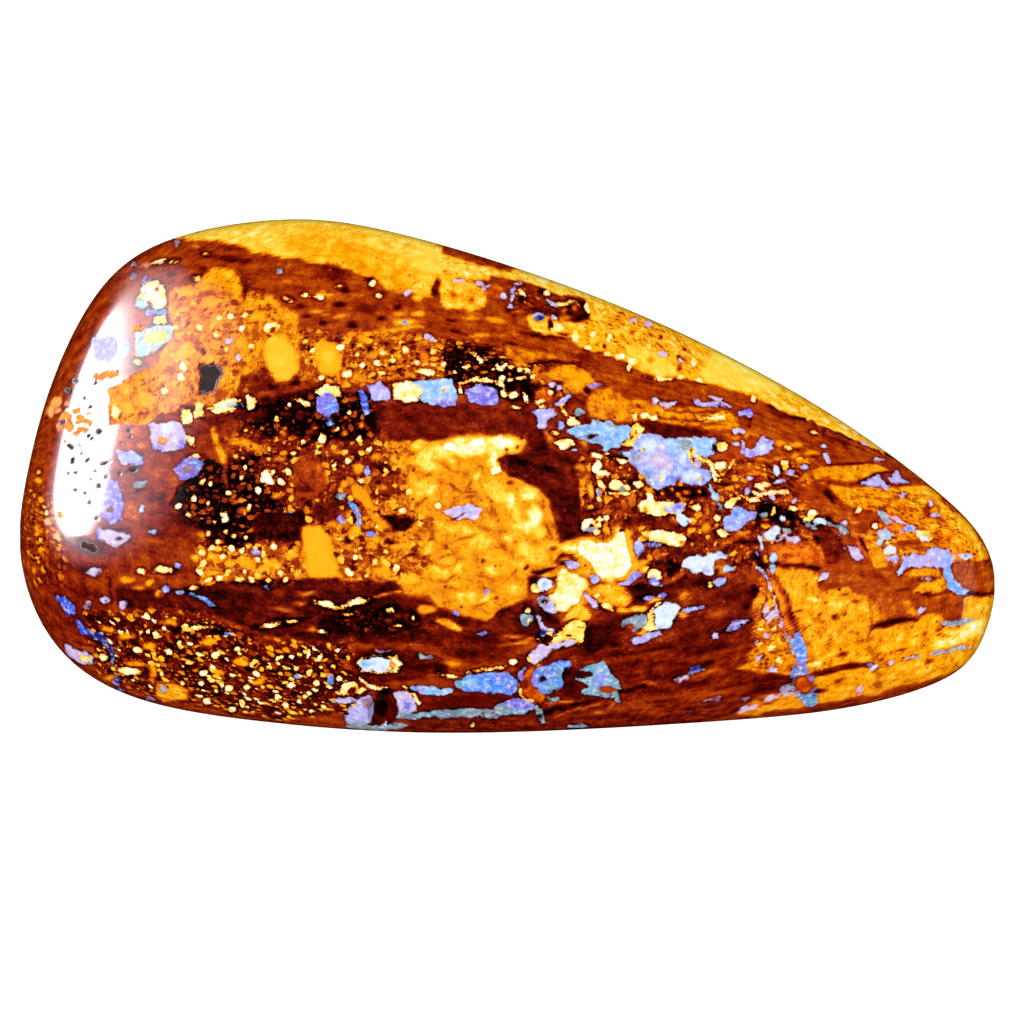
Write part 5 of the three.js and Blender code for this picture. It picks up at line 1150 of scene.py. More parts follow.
patch(0.09, (3.2, -6.4), (3.6, -6.1), (4.0, -6.25), (4.3, -6.1), (4.7, -6.5), (4.4, -6.8), (4.9, -7.1), (4.0, -7.05), (3.5, -7.4), (3.2, -6.9))
shade(0.15, 0.8, (4.4, -6.3, 0.9, 0.5, 10))
ring(STEEL, CREAM, 0.75, -5.95, 0.2, 0.11)
beads(CREAM, (0.85, -5.6, 0.14, 0.1), (0.9, -7.62, 0.12), (0.15, -7.72, 0.18, 0.12), (1.7, -6.5, 0.14, 0.1))
streak(LILAC, 0.06, (1.25, -5.8), (1.35, -6.1), (1.5, -6.3), (1.8, -6.35))
beads(BLACK, (1.2, -6.05, 0.07, 0.16), (1.35, -6.6, 0.2, 0.16))
beads(NAVY, (1.45, -6.55, 0.14, 0.1))
streak(CREAM, 0.05, (1.2, -6.72), (1.35, -6.85), (1.5, -6.75))
beads(AMBER, (1.35, -7.82, 0.13, 0.1), (0.4, -6.9, 0.5, 0.07, 3), (0.9, -6.75, 0.2, 0.06), (0.2, -6.6, 0.3, 0.05))
patch(BLUE, (1.1, -8.3), (1.25, -7.98), (1.7, -7.82), (2.2, -7.65), (2.6, -7.7), (2.7, -7.92), (2.4, -8.1), (2.45, -8.5),
      (2.2, -8.8), (1.7, -8.97), (1.4, -8.9), (1.15, -8.65))
glow((0.42, 0.56, 0.86), (1.9, -8.1, 0.8, 0.4))
glow(VIOLET, (1.2, -8.5, 0.2, 0.4))
glow(TEAL, (1.9, -8.75, 0.4, 0.2), (2.3, -8.2, 0.2, 0.3))
beads(0.2, (1.55, -8.45, 0.26, 0.11))
beads(ORANGE, (1.78, -8.47, 0.08, 0.05))
patch(0.46, (0.58, -8.4), (0.8, -8.08), (1.08, -7.95), (1.2, -8.1), (1.1, -8.4), (1.2, -8.8), (1.5, -9.0), (1.67, -9.2),
      (1.4, -9.42), (1.0, -9.35), (0.7, -9.0), (0.58, -8.7))
beads(0.24, (0.82, -8.6, 0.15, 0.2))
streak(PALE, 0.05, (0.52, -8.6), (0.65, -9.05), (0.85, -9.3), (1.3, -9.45))
streak(VIOLET, 0.07, (0.72, -7.95), (0.55, -8.15), (0.6, -8.4))
patch(VIOLET, (-0.1, -8.35), (0.3, -8.55), (0.5, -8.8), (0.35, -8.98), (-0.1, -8.97))
patch(VIOLET, (-0.4, -9.5), (0, -9.33), (0.5, -9.2), (0.85, -9.35), (1.2, -9.5), (1.1, -9.7), (0.6, -9.9), (0.1, -9.87),
      (-0.4, -9.8))
glow(TEAL, (0.4, -9.8, 0.9, 0.16))
streak(STEEL, 0.07, (1.7, -9.27), (2.1, -9.22))
streak(ORANGE, 0.05, (1.6, -9.4), (2.0, -9.37), (2.65, -9.32))
patch(0.05, (1.4, -9.68), (2.4, -9.48), (3.6, -9.25), (3.85, -9.2), (3.4, -9.42), (2.4, -9.75), (1.5, -9.87))
streak(STEEL, 0.09, (1.25, -9.5), (1.4, -9.9), (1.5, -10.2))
streak(0.07, 0.06, (1.28, -9.55), (1.38, -9.9), (1.42, -10.15))
streak(0.47, 0.05, (2.0, -9.97), (3.0, -9.7), (3.9, -9.42))
beads(ORANGE, (3.7, -9.85, 0.2, 0.07), (4.3, -9.55, 0.2, 0.08, 45))
streak(STEEL, 0.06, (2.55, -10.42), (3.3, -10.35))
patch(0.13, (2.4, -7.95), (2.9, -7.95), (3.4, -8.3), (3.0, -8.5), (3.0, -9.0), (2.4, -9.1), (2.3, -8.7))
patch(TEAL, (3.1, -8.05), (3.4, -7.87), (3.9, -7.8), (4.1, -8.0), (4.3, -8.3), (4.6, -8.6), (4.72, -8.8), (4.4, -8.72),
      (4.0, -8.7), (3.8, -8.9), (3.7, -9.1), (3.2, -9.0), (3.08, -8.8), (3.4, -8.72), (3.3, -8.52), (2.9, -8.45), (3.5, -8.3),
      (3.6, -8.15))
glow((0.58, 0.62, 0.93), (3.85, -8.4, 0.4, 0.4))
glow((0.60, 0.75, 0.88), (3.9, -8.0, 0.3, 0.2))
beads(0.52, (4.12, -8.85, 0.37, 0.2))
beads(0.38, (4.15, -8.83, 0.28, 0.13))
streak(TEAL, 0.09, (4.4, -8.95), (4.5, -9.15), (4.55, -9.35))
beads(TEAL, (4.1, -9.1, 0.2, 0.1))
patch(0.12, (4.9, -4.5), (6.3, -4.6), (7.3, -4.2), (8.6, -4.1), (8.2, -4.5), (7.6, -4.6), (6.6, -4.75), (5.8, -5.0), (5.2, -5.0))
patch(STEEL, (4.75, -5.95), (5.2, -5.75), (5.7, -5.75), (5.9, -5.9), (5.85, -6.15), (5.5, -6.25), (5.3, -6.35), (4.8, -6.2))
beads(0.42, (5.1, -6.18, 0.26, 0.16))
patch(CREAM, (5.8, -5.9), (6.0, -5.5), (6.3, -5.3), (6.6, -5.5), (6.3, -6.0), (6.1, -6.4), (5.6, -6.5), (5.5, -6.35), (5.8, -6.2))
patch(ICE, (6.1, -5.6), (6.5, -5.3), (7.0, -5.3), (7.2, -5.4), (7.0, -5.8), (6.7, -6.2), (6.3, -6.3), (6.1, -6.1))
beads(YELLOW, (6.1, -5.2, 0.25, 0.1, 10), (5.35, -5.42, 0.24, 0.14), (5.65, -5.5, 0.14), (7.3, -5.72, 0.14, 0.1), (4.75, -5.5, 0.25, 0.1),
      (5.6, -6.45, 0.22, 0.09))
streak(LAVENDER, 0.11, (5.15, -6.8), (5.6, -6.68), (6.3, -6.5))
beads(VIOLET, (6.4, -5.02, 0.16, 0.1), (5.85, -5.05, 0.16, 0.06))
ring(AMBER, RUST, 7.35, -4.95, 0.2, 0.11)
shade(0.13, 0.8, (8.0, -6.6, 1.4, 0.25, 12), (8.4, -7.2, 1.4, 0.2, 10), (6.0, -7.2, 1.2, 0.15, 8), (7.6, -8.65, 0.9, 0.2),
      (5.2, -8.85, 0.8, 0.14), (6.6, -7.8, 1.2, 0.15, 5))
shade(0.36, 0.8, (6.6, -6.6, 1.0, 0.3, 15), (7.9, -8.3, 1.2, 0.2, 10), (8.2, -9.1, 2.0, 0.35), (5.5, -9.6, 1.6, 0.3), (8.5, -5.6, 1.0, 0.4))
streak(BLACK, 0.06, (4.6, -8.92), (5.2, -8.85), (5.75, -8.75))
streak(0.45, 0.04, (5.5, -8.6), (6.0, -8.58), (6.25, -8.78))
streak(0.06, 0.09, (8.5, -6.8), (9.0, -6.45), (9.5, -6.05), (10.0, -5.9))
beads(LILAC, (8.65, -6.7, 0.11), (9.6, -5.97, 0.16, 0.05))
beads(MAUVE, (9.15, -6.4, 0.1), (8.5, -9.27, 0.16, 0.05), (8.8, -9.23, 0.1, 0.06), (9.95, -9.22, 0.12, 0.06))
beads(VIOLET, (9.4, -6.15, 0.14, 0.1, 40))
beads(BLACK, (8.4, -7.7, 0.14, 0.1), (10.2, -4.8, 0.14, 0.25), (9.9, -5.4, 0.14, 0.08))
patch(PERIWINKLE, (7.6, -8.1), (7.8, -7.95), (8.1, -7.83), (8.2, -7.95), (7.95, -8.15))
beads(NAVY, (7.9, -7.85, 0.16, 0.06, 15))
beads(LILAC, (7.25, -8.37, 0.22, 0.07, 10))
streak(COPPER, 0.1, (7.5, -8.35), (8.0, -8.15), (8.7, -7.95))
beads(LILAC, (10.2, -6.8, 0.1, 0.14), (10.6, -5.6, 0.08, 0.3), (10.0, -9.65, 0.3, 0.06, 15))

# Lower middle: lens marks, the hole's surroundings and the long blue patch
beads(CREAM, (-7.35, -5.33, 0.5, 0.11, -8), (-6.2, -5.22, 0.4, 0.1, 10), (-4.9, -6.2, 0.16, 0.09), (-4.2, -6.15, 0.14, 0.08),
      (-6.6, -5.7, 0.16, 0.07), (-4.9, -5.5, 0.14, 0.07), (-8.9, -5.95, 0.32, 0.07, 8), (-9.75, -6.2, 0.36, 0.07, 5),
      (-7.65, -6.45, 0.16, 0.08), (-4.15, -8.0, 0.16, 0.09))
streak(AMBER, 0.06, (-5.5, -4.95), (-4.7, -4.85), (-3.9, -4.9))
beads(AMBER, (-8.3, -4.9, 0.3, 0.07), (-8.5, -5.2, 0.25, 0.06), (-8.0, -6.4, 0.2, 0.09), (-3.3, -5.5, 0.4, 0.2), (-9.3, -5.5, 0.3, 0.05),
      (-6.0, -6.1, 0.25, 0.06))
streak(GOLD, 0.15, (-2.9, -6.0), (-2.4, -6.15), (-2.0, -6.4))
patch(0.11, (-7.8, -5.65), (-6.6, -5.75), (-5.4, -5.35), (-4.2, -5.3), (-3.5, -5.7), (-3.5, -6.25), (-4.8, -6.6), (-6.3, -6.55),
      (-7.8, -6.35))
pebbles(0.45, (-7.8, -5.6), (-5.4, -5.4), (-3.6, -5.6), (-3.5, -6.3), (-4.8, -6.7), (-7.8, -6.5))
beads(CREAM, (-4.85, -5.55, 0.12, 0.06), (-4.6, -6.15, 0.12, 0.06), (-3.9, -5.8, 0.08))
beads(BLACK, (-7.4, -6.4, 0.18, 0.1), (-6.7, -6.5, 0.2, 0.08), (-8.6, -6.6, 0.2, 0.07))
beads(VIOLET, (-2.05, -5.7, 0.08), (-1.05, -6.5, 0.14, 0.06), (-9.95, -4.6, 0.12, 0.07), (-0.85, -4.8, 0.1))
streak(CREAM, 0.07, (-8.4, -7.1), (-8.2, -7.25), (-8.2, -7.5))
beads(CREAM, (-9.5, -7.6, 0.1), (-9.3, -7.55, 0.08), (-8.8, -8.05, 0.1), (-8.2, -8.1, 0.12), (-7.2, -7.9, 0.1), (-9, -8.7, 0.12, 0.08),
      (-9.2, -9.45, 0.1), (-7.55, -9.65, 0.12, 0.09), (-8.1, -9.8, 0.1), (-9.55, -9.2, 0.1), (-7.7, -7.5, 0.1), (-7.0, -8.4, 0.1),
      (-8.4, -9.1, 0.1), (-7.9, -8.6, 0.1))
beads(VIOLET, (-8.7, -8.35, 0.1))
beads(BLUE, (-7.4, -8.45, 0.11, 0.18))
patch(0.16, (-6.3, -7.2), (-4.2, -7.2), (-2.6, -7.5), (-2.4, -8.1), (-3.6, -8.4), (-5.2, -8.6), (-6.3, -8.4))
patch(CREAM, (-6.25, -7.8), (-6.0, -7.5), (-5.4, -7.42), (-4.6, -7.45), (-4.38, -7.75), (-4.6, -8.1), (-5.4, -8.12), (-6.0, -8.05))
patch(ICE, (-6.15, -7.8), (-5.9, -7.55), (-5.2, -7.5), (-4.85, -7.55), (-4.8, -8.0), (-5.2, -8.05), (-5.9, -8.0))
glow(SKY, (-5.8, -7.75, 0.3, 0.2))
beads(YELLOW, (-4.75, -7.8, 0.18, 0.16))
beads(MAUVE, (-5.1, -7.2, 0.2, 0.06))
beads(STEEL, (-3.4, -7.5, 0.2, 0.07))
ring(CREAM, 0.3, -6.6, -8.9, 0.32, 0.2)
beads(LILAC, (-6.7, -9.35, 0.3, 0.08))
streak(CREAM, 0.06, (-6.1, -8.4), (-5.6, -8.7), (-5.0, -8.8))
patch(LAVENDER, (-6.6, -9.75), (-6.2, -9.35), (-5.75, -9.0), (-5.55, -9.4), (-5.6, -10.2), (-6.2, -10.35), (-6.7, -10.2))
glow(MAUVE, (-5.8, -9.4, 0.3, 0.3))
beads(CREAM, (-6.1, -8.95, 0.22, 0.08, 30), (-6.35, -9.5, 0.12, 0.08))
streak(STEEL, 0.13, (-6.6, -10.35), (-5.6, -10.5), (-4.6, -10.45))
patch(LILAC, (-4.7, -9.0), (-4.35, -8.95), (-3.9, -9.3), (-3.85, -9.75), (-4.3, -10.05), (-4.7, -9.9))
glow(VIOLET, (-4.2, -9.5, 0.25, 0.25))
beads(STEEL, (-4.6, -9.95, 0.16, 0.14), (-4.5, -10.4, 0.3, 0.08))
streak(CREAM, 0.08, (-4.3, -8.8), (-3.95, -9.1), (-3.7, -9.45))
beads(0.07, (-4.05, -8.93, 0.16, 0.1), (-4.45, -8.5, 0.2, 0.08))
streak(SKY, 0.14, (-3.95, -8.85), (-3.2, -8.93), (-2.4, -8.92))
glow(VIOLET, (-3.7, -8.9, 0.3, 0.15))
patch(BLUE, (-2.25, -8.55), (-1.9, -8.35), (-1.3, -8.25), (-0.5, -8.15), (0.2, -8.25), (0.45, -8.6), (0.4, -8.95), (-0.6, -9.0),
      (-1.6, -8.97), (-2.15, -8.8))
glow(TEAL, (-1.95, -8.6, 0.4, 0.25))
glow(SKY, (-1.5, -8.6, 0.35, 0.2))
glow(VIOLET, (-0.3, -8.35, 0.4, 0.15), (0.2, -8.75, 0.3, 0.2))
streak(PALE, 0.05, (-2.8, -8.2), (-2.3, -8.3), (-1.9, -8.4))
streak(PALE, 0.05, (-1.7, -8.2), (-1.0, -8.0), (-0.2, -7.95))
beads(AMBER, (-2.3, -7.75, 0.3, 0.08))
beads(0.17, (-2.0, -9.5, 1.4, 0.3), (-0.5, -9.25, 0.8, 0.12))
streak((0.44, 0.53, 0.62), 0.12, (-4.3, -10.0), (-3.4, -9.98), (-2.5, -9.9), (-1.5, -9.82), (-0.6, -9.75))
glow(TEAL, (-3.2, -9.95, 0.7, 0.15))
beads(STEEL, (-1.4, -9.87, 0.32, 0.13), (-0.75, -9.95, 0.3, 0.07), (-0.2, -9.65, 0.2, 0.1))
beads(CREAM, (-1.45, -10.35, 0.07))

redden(0.9, (1.1, -8.7, 0.6, 0.9), (-0.55, 7.6, 0.5, 0.4), (-1.6, 7.4, 0.7, 0.4), (1.5, 3.4, 0.6, 0.4), (4.15, -8.85, 0.4, 0.25))
redden(0.6, (-8.2, -0.1, 0.9, 0.9), (-3.4, 4.8, 1.2, 0.6), (3.0, 2.9, 0.5, 0.5), (-6.5, 6.0, 1.5, 0.4), (-12.5, 7.0, 1.0, 0.6))

# Painted shade in the natural hole: its floor and upper wall are painted black as shadow, and its sides a dark rust
beads(0.2, (-5.02, -9.65, 0.5, 0.75, 0))
beads(BLACK, (-5.08, -8.95, 0.3, 0.16), (-5.2, -9.6, 0.28, 0.4))

# Painted shade: everything inside the hole is darkened to at most a maroon
heat[in_hole] = np.minimum(heat[in_hole], 0.2)
# Painted light: the amber is brightened along the upper and right outline, standing in for light that the steep rim
# does not get
painted_rim_light = spread_between(OUT, 0.9, 0.985) * spread_between(Y + 0.35 * X, 0.5, 3.5)
heat += 0.14 * painted_rim_light * spread_between(heat, 0.44, 0.54) * spread_between(-heat, -0.8, -0.62)
heat = np.clip(heat, 0, 1)


def bedding_height():
    """How high each place lies in the stone's layers, read from lines that follow them."""
    guides = (
        ((-21, -9.4), (-10, -10.4), (0, -10.8), (8, -10.4), (14, -9.7), (21, -8.4)),
        ((-21, -7.1), (-10, -7.0), (-2, -7.9), (4, -8.8), (7, -8.4), (10, -7.7), (13, -8.0), (21, -7.0)),
        ((-21, -4.8), (-10, -4.8), (-2, -5.3), (3, -6.8), (7, -5.8), (10, -4.6), (14, -4.6), (21, -4.7)),
        ((-21, -0.5), (0, -0.5), (8, -0.6), (13, -1.5), (16, -2.2), (21, -3.5)),
        ((-21, 3.5), (-8, 3.6), (0, 4.3), (4, 3.4), (9, 2.6), (13, 0.6), (16, -0.3), (21, -2.4)),
        ((-21, 7.4), (-12, 8.6), (-6, 8.0), (0, 6.6), (5, 4.9), (10, 3.2), (15, 1.0), (21, -2.2)),
        ((-21, 11), (-9, 10.7), (-3, 9.6), (3, 7.5), (7, 6), (13, 2.9), (18, -0.6), (21, -2.0)),
    )
    lines = [np.interp(X, [p[0] for p in line], [p[1] for p in line]) for line in guides]
    levels = [-10.3, -7.0, -4.8, -0.5, 3.6, 8.3, 10.7]
    height = np.full(len(X), levels[0])
    for low, high, base, top in zip(lines, lines[1:], levels, levels[1:]):
        share = np.clip((Y - low) / np.maximum(high - low, 0.05), 0, 1)
        height += share * (top - base)
    return height


# Texture coordinates run on over the dome's shoulders, so nothing is drawn out on the steep edge
drop = 0.8 * (THICKNESS - Z)
across_ends = drop * np.clip(X / 8, -1, 1)
across_sides = drop * np.clip(Y / 3, -1, 1)
unrolled = np.column_stack((X + across_ends, Y + across_sides, bedding_height() + across_sides))
# Open pits and crumbly amber in the window's reflection stay without a shine
dull_pits = (heat < 0.1) * ((X < -14.2) | (X < -11.5) * (Y > 2))
dull_amber = (heat > 0.48) * spread_between(-X, 12.8, 15.2) * spread_between(X, -19.4, -18.8) * spread_between(Y, -3, -2)
dull = np.maximum(dull_pits, dull_amber) * (opal < 0)
dull = np.maximum(dull, 0.7 * (X < -16) * (Y > 4) * (opal > 0))
# Right of the reflection, towards its upper end, the polish is finer worn and only hazy
across_haze = spread_between(X, -16.9, -15.3) * spread_between(-X, 12.9, 13.6)
haze = across_haze * spread_between(Y, 3.5, 4.2) * spread_between(-Y, -9.2, -8.4)
dull = np.maximum(dull, 0.5 * haze)
pits = np.clip((0.09 - heat) / 0.09, 0, 1) * (opal < 0) * (OUT < 0.97)
Z = Z - 0.03 * pits


def write_stone():
    mesh = stone.data
    low, high = cad_box
    places = np.column_stack((X, Y, Z)) * MM
    places = np.clip(places, np.array(low), np.array(high))
    mesh.vertices.foreach_set("co", places.astype(np.float32).ravel())
    for name, values in (("warmth", heat), ("pebbles", pebble), ("opal", opal), ("dull", dull),
                         ("cream", cream), ("light", light), ("calm", calm), ("ember", ember)):
        made = mesh.attributes.new(name, "FLOAT", "POINT")
        made.data.foreach_set("value", values.astype(np.float32))
    made = mesh.attributes.new("unrolled", "FLOAT_VECTOR", "POINT")
    made.data.foreach_set("vector", unrolled.astype(np.float32).ravel())
    linear = np.where(tint <= 0.04045, tint / 12.92, ((tint + 0.055) / 1.055) ** 2.4)
    made = mesh.attributes.new("tint", "FLOAT_COLOR", "POINT")
    made.data.foreach_set("color", np.column_stack((linear / LIGHT, np.ones(len(X)))).astype(np.float32).ravel())
    mesh.update()


write_stone()
bpy.ops.object.select_all(action="DESELECT")
stone.select_set(True)
bpy.context.view_layer.objects.active = stone
bpy.ops.object.shade_smooth_by_angle(angle=math.radians(50))


# ---- materials

def screen_colour(text):
    parts = [int(text[i:i + 2], 16) / 255 for i in (0, 2, 4)]
    return tuple((c / 12.92 if c <= 0.04045 else ((c + 0.055) / 1.055) ** 2.4) / LIGHT for c in parts) + (1.0,)


def new_material(name):
    material = bpy.data.materials.new(name)
    material.use_nodes = True
    material.node_tree.nodes.clear()
    return material


def add(tree, kind, inputs=None, **settings):
    made = tree.nodes.new(kind)
    for name, value in settings.items():
        setattr(made, name, value)
    for socket, value in (inputs or {}).items():
        target = made.inputs[socket]
        if isinstance(value, bpy.types.NodeSocket):
            tree.links.new(value, target)
        else:
            target.default_value = value
    return made


def sum_of(tree, operation, *values):
    inputs = {i: value for i, value in enumerate(values)}
    return add(tree, "ShaderNodeMath", inputs, operation=operation).outputs[0]


def spread(tree, value, low, high, to_low=0.0, to_high=1.0, smooth=False):
    inputs = {"Value": value, "From Min": low, "From Max": high, "To Min": to_low, "To Max": to_high}
    kind = "SMOOTHSTEP" if smooth else "LINEAR"
    return add(tree, "ShaderNodeMapRange", inputs, interpolation_type=kind).outputs[0]


def blend_colour(tree, share, first, second):
    made = add(tree, "ShaderNodeMix", data_type="RGBA")
    colours = [s for s in made.inputs if s.type == "RGBA"]
    shares = [s for s in made.inputs if s.type == "VALUE"]
    for socket, value in ((shares[0], share), (colours[0], first), (colours[1], second)):
        if isinstance(value, bpy.types.NodeSocket):
            tree.links.new(value, socket)
        else:
            socket.default_value = value
    return [s for s in made.outputs if s.type == "RGBA"][0]


STONE_COLOURS = (
    (0.00, "040000"), (0.06, "180200"), (0.12, "380400"), (0.18, "580600"), (0.25, "7c1602"), (0.33, "a03202"),
    (0.40, "b84604"), (0.445, "c85e04"), (0.48, "e07800"), (0.55, "f29000"), (0.62, "ffa400"), (0.69, "ffb810"),
    (0.76, "ffd038"), (0.82, "ffe358"), (0.875, "fff196"), (0.93, "fffad0"), (1.00, "fffff4"),
)


def colour_ramp(tree, value, stops):
    made = add(tree, "ShaderNodeValToRGB", {"Fac": value})
    elements = made.color_ramp.elements
    elements[0].color = screen_colour(stops[0][1])
    elements[1].color = screen_colour(stops[-1][1])
    for level, colour in stops[1:-1]:
        elements.new(level).color = screen_colour(colour)
    return made.outputs["Color"]


def noise_at(tree, place, scale, detail, roughness):
    return add(tree, "ShaderNodeTexNoise", {
        "Vector": place, "Scale": scale, "Detail": detail, "Roughness": roughness,
    }, noise_dimensions="2D")


def round_grains(tree, place, scale, smallest, largest):
    """Round grains of random size: how light each is, and where they are."""
    cells = add(tree, "ShaderNodeTexVoronoi", {"Vector": place, "Scale": scale}, voronoi_dimensions="2D")
    kind = add(tree, "ShaderNodeSeparateColor", {"Color": cells.outputs["Color"]})
    size = spread(tree, kind.outputs[1], 0.0, 1.0, smallest, largest)
    inside = sum_of(tree, "SUBTRACT", size, cells.outputs["Distance"])
    return kind.outputs[0], spread(tree, inside, -0.03, 0.05)


def mix_value(tree, share, first, second):
    rise = sum_of(tree, "SUBTRACT", second, first)
    return sum_of(tree, "MULTIPLY_ADD", rise, share, first)


def attribute(tree, name, output="Fac"):
    return add(tree, "ShaderNodeAttribute", attribute_name=name).outputs[output]


def polished_face():
    material = new_material("polished_ironstone_and_opal")
    tree = material.node_tree
    over_face = attribute(tree, "unrolled", "Vector")
    painted = attribute(tree, "warmth")
    pebbles_here = attribute(tree, "pebbles")
    opal_here = attribute(tree, "opal")
    tint_here = attribute(tree, "tint", "Color")
    axes = add(tree, "ShaderNodeSeparateXYZ", {"Vector": over_face})
    x = axes.outputs["X"]
    layer = axes.outputs["Z"]
    stretched = add(tree, "ShaderNodeCombineXYZ", {
        "X": sum_of(tree, "MULTIPLY", x, 0.45), "Y": sum_of(tree, "MULTIPLY", layer, 1.9),
    }).outputs[0]
    mottle = noise_at(tree, over_face, 2.1, 4.0, 0.62)
    fine = noise_at(tree, over_face, 8.0, 3.0, 0.7)
    streaks = noise_at(tree, stretched, 1.0, 4.0, 0.6)
    bent = add(tree, "ShaderNodeVectorMath", {
        0: add(tree, "ShaderNodeCombineXYZ", {"X": x, "Y": sum_of(tree, "MULTIPLY", layer, 1.15)}).outputs[0],
        1: add(tree, "ShaderNodeVectorMath", {0: mottle.outputs["Color"], 1: (0.4, 0.4, 0)}, operation="MULTIPLY").outputs[0],
    }, operation="ADD").outputs[0]
    lively = spread(tree, attribute(tree, "calm"), 0.0, 1.0, 1.0, 0.12)
    mottled = spread(tree, mottle.outputs["Fac"], 0.3, 0.7, -1.0, 1.0)
    mottled = sum_of(tree, "MULTIPLY", mottled, lively)
    grained = spread(tree, fine.outputs["Fac"], 0.3, 0.7, -1.0, 1.0)
    grained = sum_of(tree, "MULTIPLY", grained, lively)

    layered = spread(tree, streaks.outputs["Fac"], 0.28, 0.72, -0.065, 0.065)
    layered = sum_of(tree, "MULTIPLY", layered, spread(tree, painted, 0.4, 0.56, 1.0, 0.45))
    warm = sum_of(tree, "MULTIPLY_ADD", layered, lively, painted)
    warm = sum_of(tree, "MULTIPLY_ADD", mottled, spread(tree, painted, 0.3, 0.55, 0.07, 0.13), warm)
    warm = sum_of(tree, "MULTIPLY_ADD", grained, spread(tree, painted, 0.25, 0.6, 0.035, 0.05), warm)
    second = add(tree, "ShaderNodeSeparateColor", {"Color": mottle.outputs["Color"]}).outputs[1]
    from_vein = sum_of(tree, "ABSOLUTE", sum_of(tree, "SUBTRACT", second, 0.5))
    vein = sum_of(tree, "MULTIPLY", spread(tree, from_vein, 0.0, 0.014, 0.22, 0.0), spread(tree, painted, 0.45, 0.58))
    warm = sum_of(tree, "SUBTRACT", warm, sum_of(tree, "MULTIPLY", vein, lively))
    small_tone, small_there = round_grains(tree, bent, 5.4, 0.12, 0.46)
    amber_here = sum_of(tree, "MULTIPLY", spread(tree, painted, 0.46, 0.6, 0.0, 0.35), lively)
    small_share = sum_of(tree, "MULTIPLY", small_there, sum_of(tree, "MAXIMUM", amber_here, pebbles_here))
    lightest = spread(tree, painted, 0.58, 0.72, 0.4, 0.1)
    small_change = sum_of(tree, "MULTIPLY", small_share, mix_value(tree, small_tone, -0.3, lightest))
    warm = sum_of(tree, "ADD", warm, small_change)
    ground = sum_of(tree, "MULTIPLY_ADD", pebbles_here, -0.16, warm)
    pebble_tone, pebble_there = round_grains(tree, bent, 2.7, 0.16, 0.52)
    pebble_level = sum_of(tree, "ADD", spread(tree, pebble_tone, 0.0, 0.45, 0.04, 0.36),
                          spread(tree, pebble_tone, 0.45, 0.92, 0.0, 0.58))
    pebble_level = sum_of(tree, "MULTIPLY", pebble_level, spread(tree, painted, 0.1, 0.3, 0.6, 1.0))
    pebble_level = sum_of(tree, "MULTIPLY_ADD", grained, 0.05, pebble_level)
    warm = mix_value(tree, sum_of(tree, "MULTIPLY", pebble_there, pebbles_here), ground, pebble_level)
    speck_tone, speck_there = round_grains(tree, over_face, 2.1, -0.22, 0.17)
    speck_change = sum_of(tree, "MULTIPLY", spread(tree, painted, 0.3, 0.5, 0.12, -0.32), spread(tree, speck_tone, 0.0, 1.0, 0.3, 1.0))
    speck_change = sum_of(tree, "MULTIPLY", speck_change, lively)
    warm = sum_of(tree, "MULTIPLY_ADD", speck_there, speck_change, warm)
    cream_here = sum_of(tree, "MULTIPLY_ADD", grained, 0.03, attribute(tree, "cream"))
    cream_here = sum_of(tree, "MULTIPLY_ADD", mottled, 0.05, cream_here)
    outline = spread(tree, sum_of(tree, "ABSOLUTE", sum_of(tree, "ADD", cream_here, 0.07)), 0.0, 0.06, 0.17, 0.0)
    outline = sum_of(tree, "MULTIPLY", outline, spread(tree, painted, 0.45, 0.62, 1.0, 0.35))
    warm = sum_of(tree, "SUBTRACT", warm, outline)
    cream_level = sum_of(tree, "MULTIPLY_ADD", spread(tree, mottle.outputs["Fac"], 0.3, 0.7, -1.0, 0.6), 0.14,
                         attribute(tree, "light"))
    cream_level = sum_of(tree, "SUBTRACT", cream_level, spread(tree, from_vein, 0.0, 0.01, 0.35, 0.0))
    warm = mix_value(tree, spread(tree, cream_here, -0.025, 0.02), warm, cream_level)
    ragged = sum_of(tree, "MULTIPLY_ADD", grained, 0.018, opal_here)
    ragged = sum_of(tree, "MULTIPLY_ADD", mottled, 0.06, ragged)
    rim = spread(tree, sum_of(tree, "ABSOLUTE", sum_of(tree, "ADD", ragged, 0.05)), 0.0, 0.08, 0.12, 0.0)
    warm = sum_of(tree, "SUBTRACT", warm, rim)
    stone_colour = colour_ramp(tree, warm, STONE_COLOURS)
    redder = add(tree, "ShaderNodeHueSaturation", {"Color": stone_colour, "Hue": 0.476, "Saturation": 1.05, "Value": 0.97})
    red_share = sum_of(tree, "MULTIPLY", attribute(tree, "ember"), spread(tree, warm, 0.34, 0.46))
    stone_colour = blend_colour(tree, red_share, stone_colour, redder.outputs["Color"])

    cloud = noise_at(tree, over_face, 3.4, 4.0, 0.7)
    opal_colour = blend_colour(tree, spread(tree, cloud.outputs["Fac"], 0.5, 0.72, 0.0, 0.7), tint_here,
                               (0.76, 0.77, 0.8, 1.0))
    deeper = add(tree, "ShaderNodeHueSaturation", {"Color": tint_here, "Hue": 0.52, "Saturation": 1.35, "Value": 0.72})
    opal_colour = blend_colour(tree, spread(tree, cloud.outputs["Fac"], 0.46, 0.25, 0.0, 0.7), opal_colour,
                               deeper.outputs["Color"])
    opal_share = spread(tree, ragged, -0.045, 0.02)
    colour = blend_colour(tree, opal_share, stone_colour, opal_colour)

    matt = sum_of(tree, "MAXIMUM", attribute(tree, "dull"), 0.1)
    relief = spread(tree, painted, 0.0, 0.25)
    bump = add(tree, "ShaderNodeBump", {"Height": relief, "Strength": 0.25, "Distance": 0.00002})
    shader = add(tree, "ShaderNodeBsdfPrincipled", {
        "Base Color": colour, "Roughness": matt, "IOR": 1.5, "Normal": bump.outputs["Normal"],
    })
    add(tree, "ShaderNodeOutputMaterial", {"Surface": shader.outputs[0]})
    return material


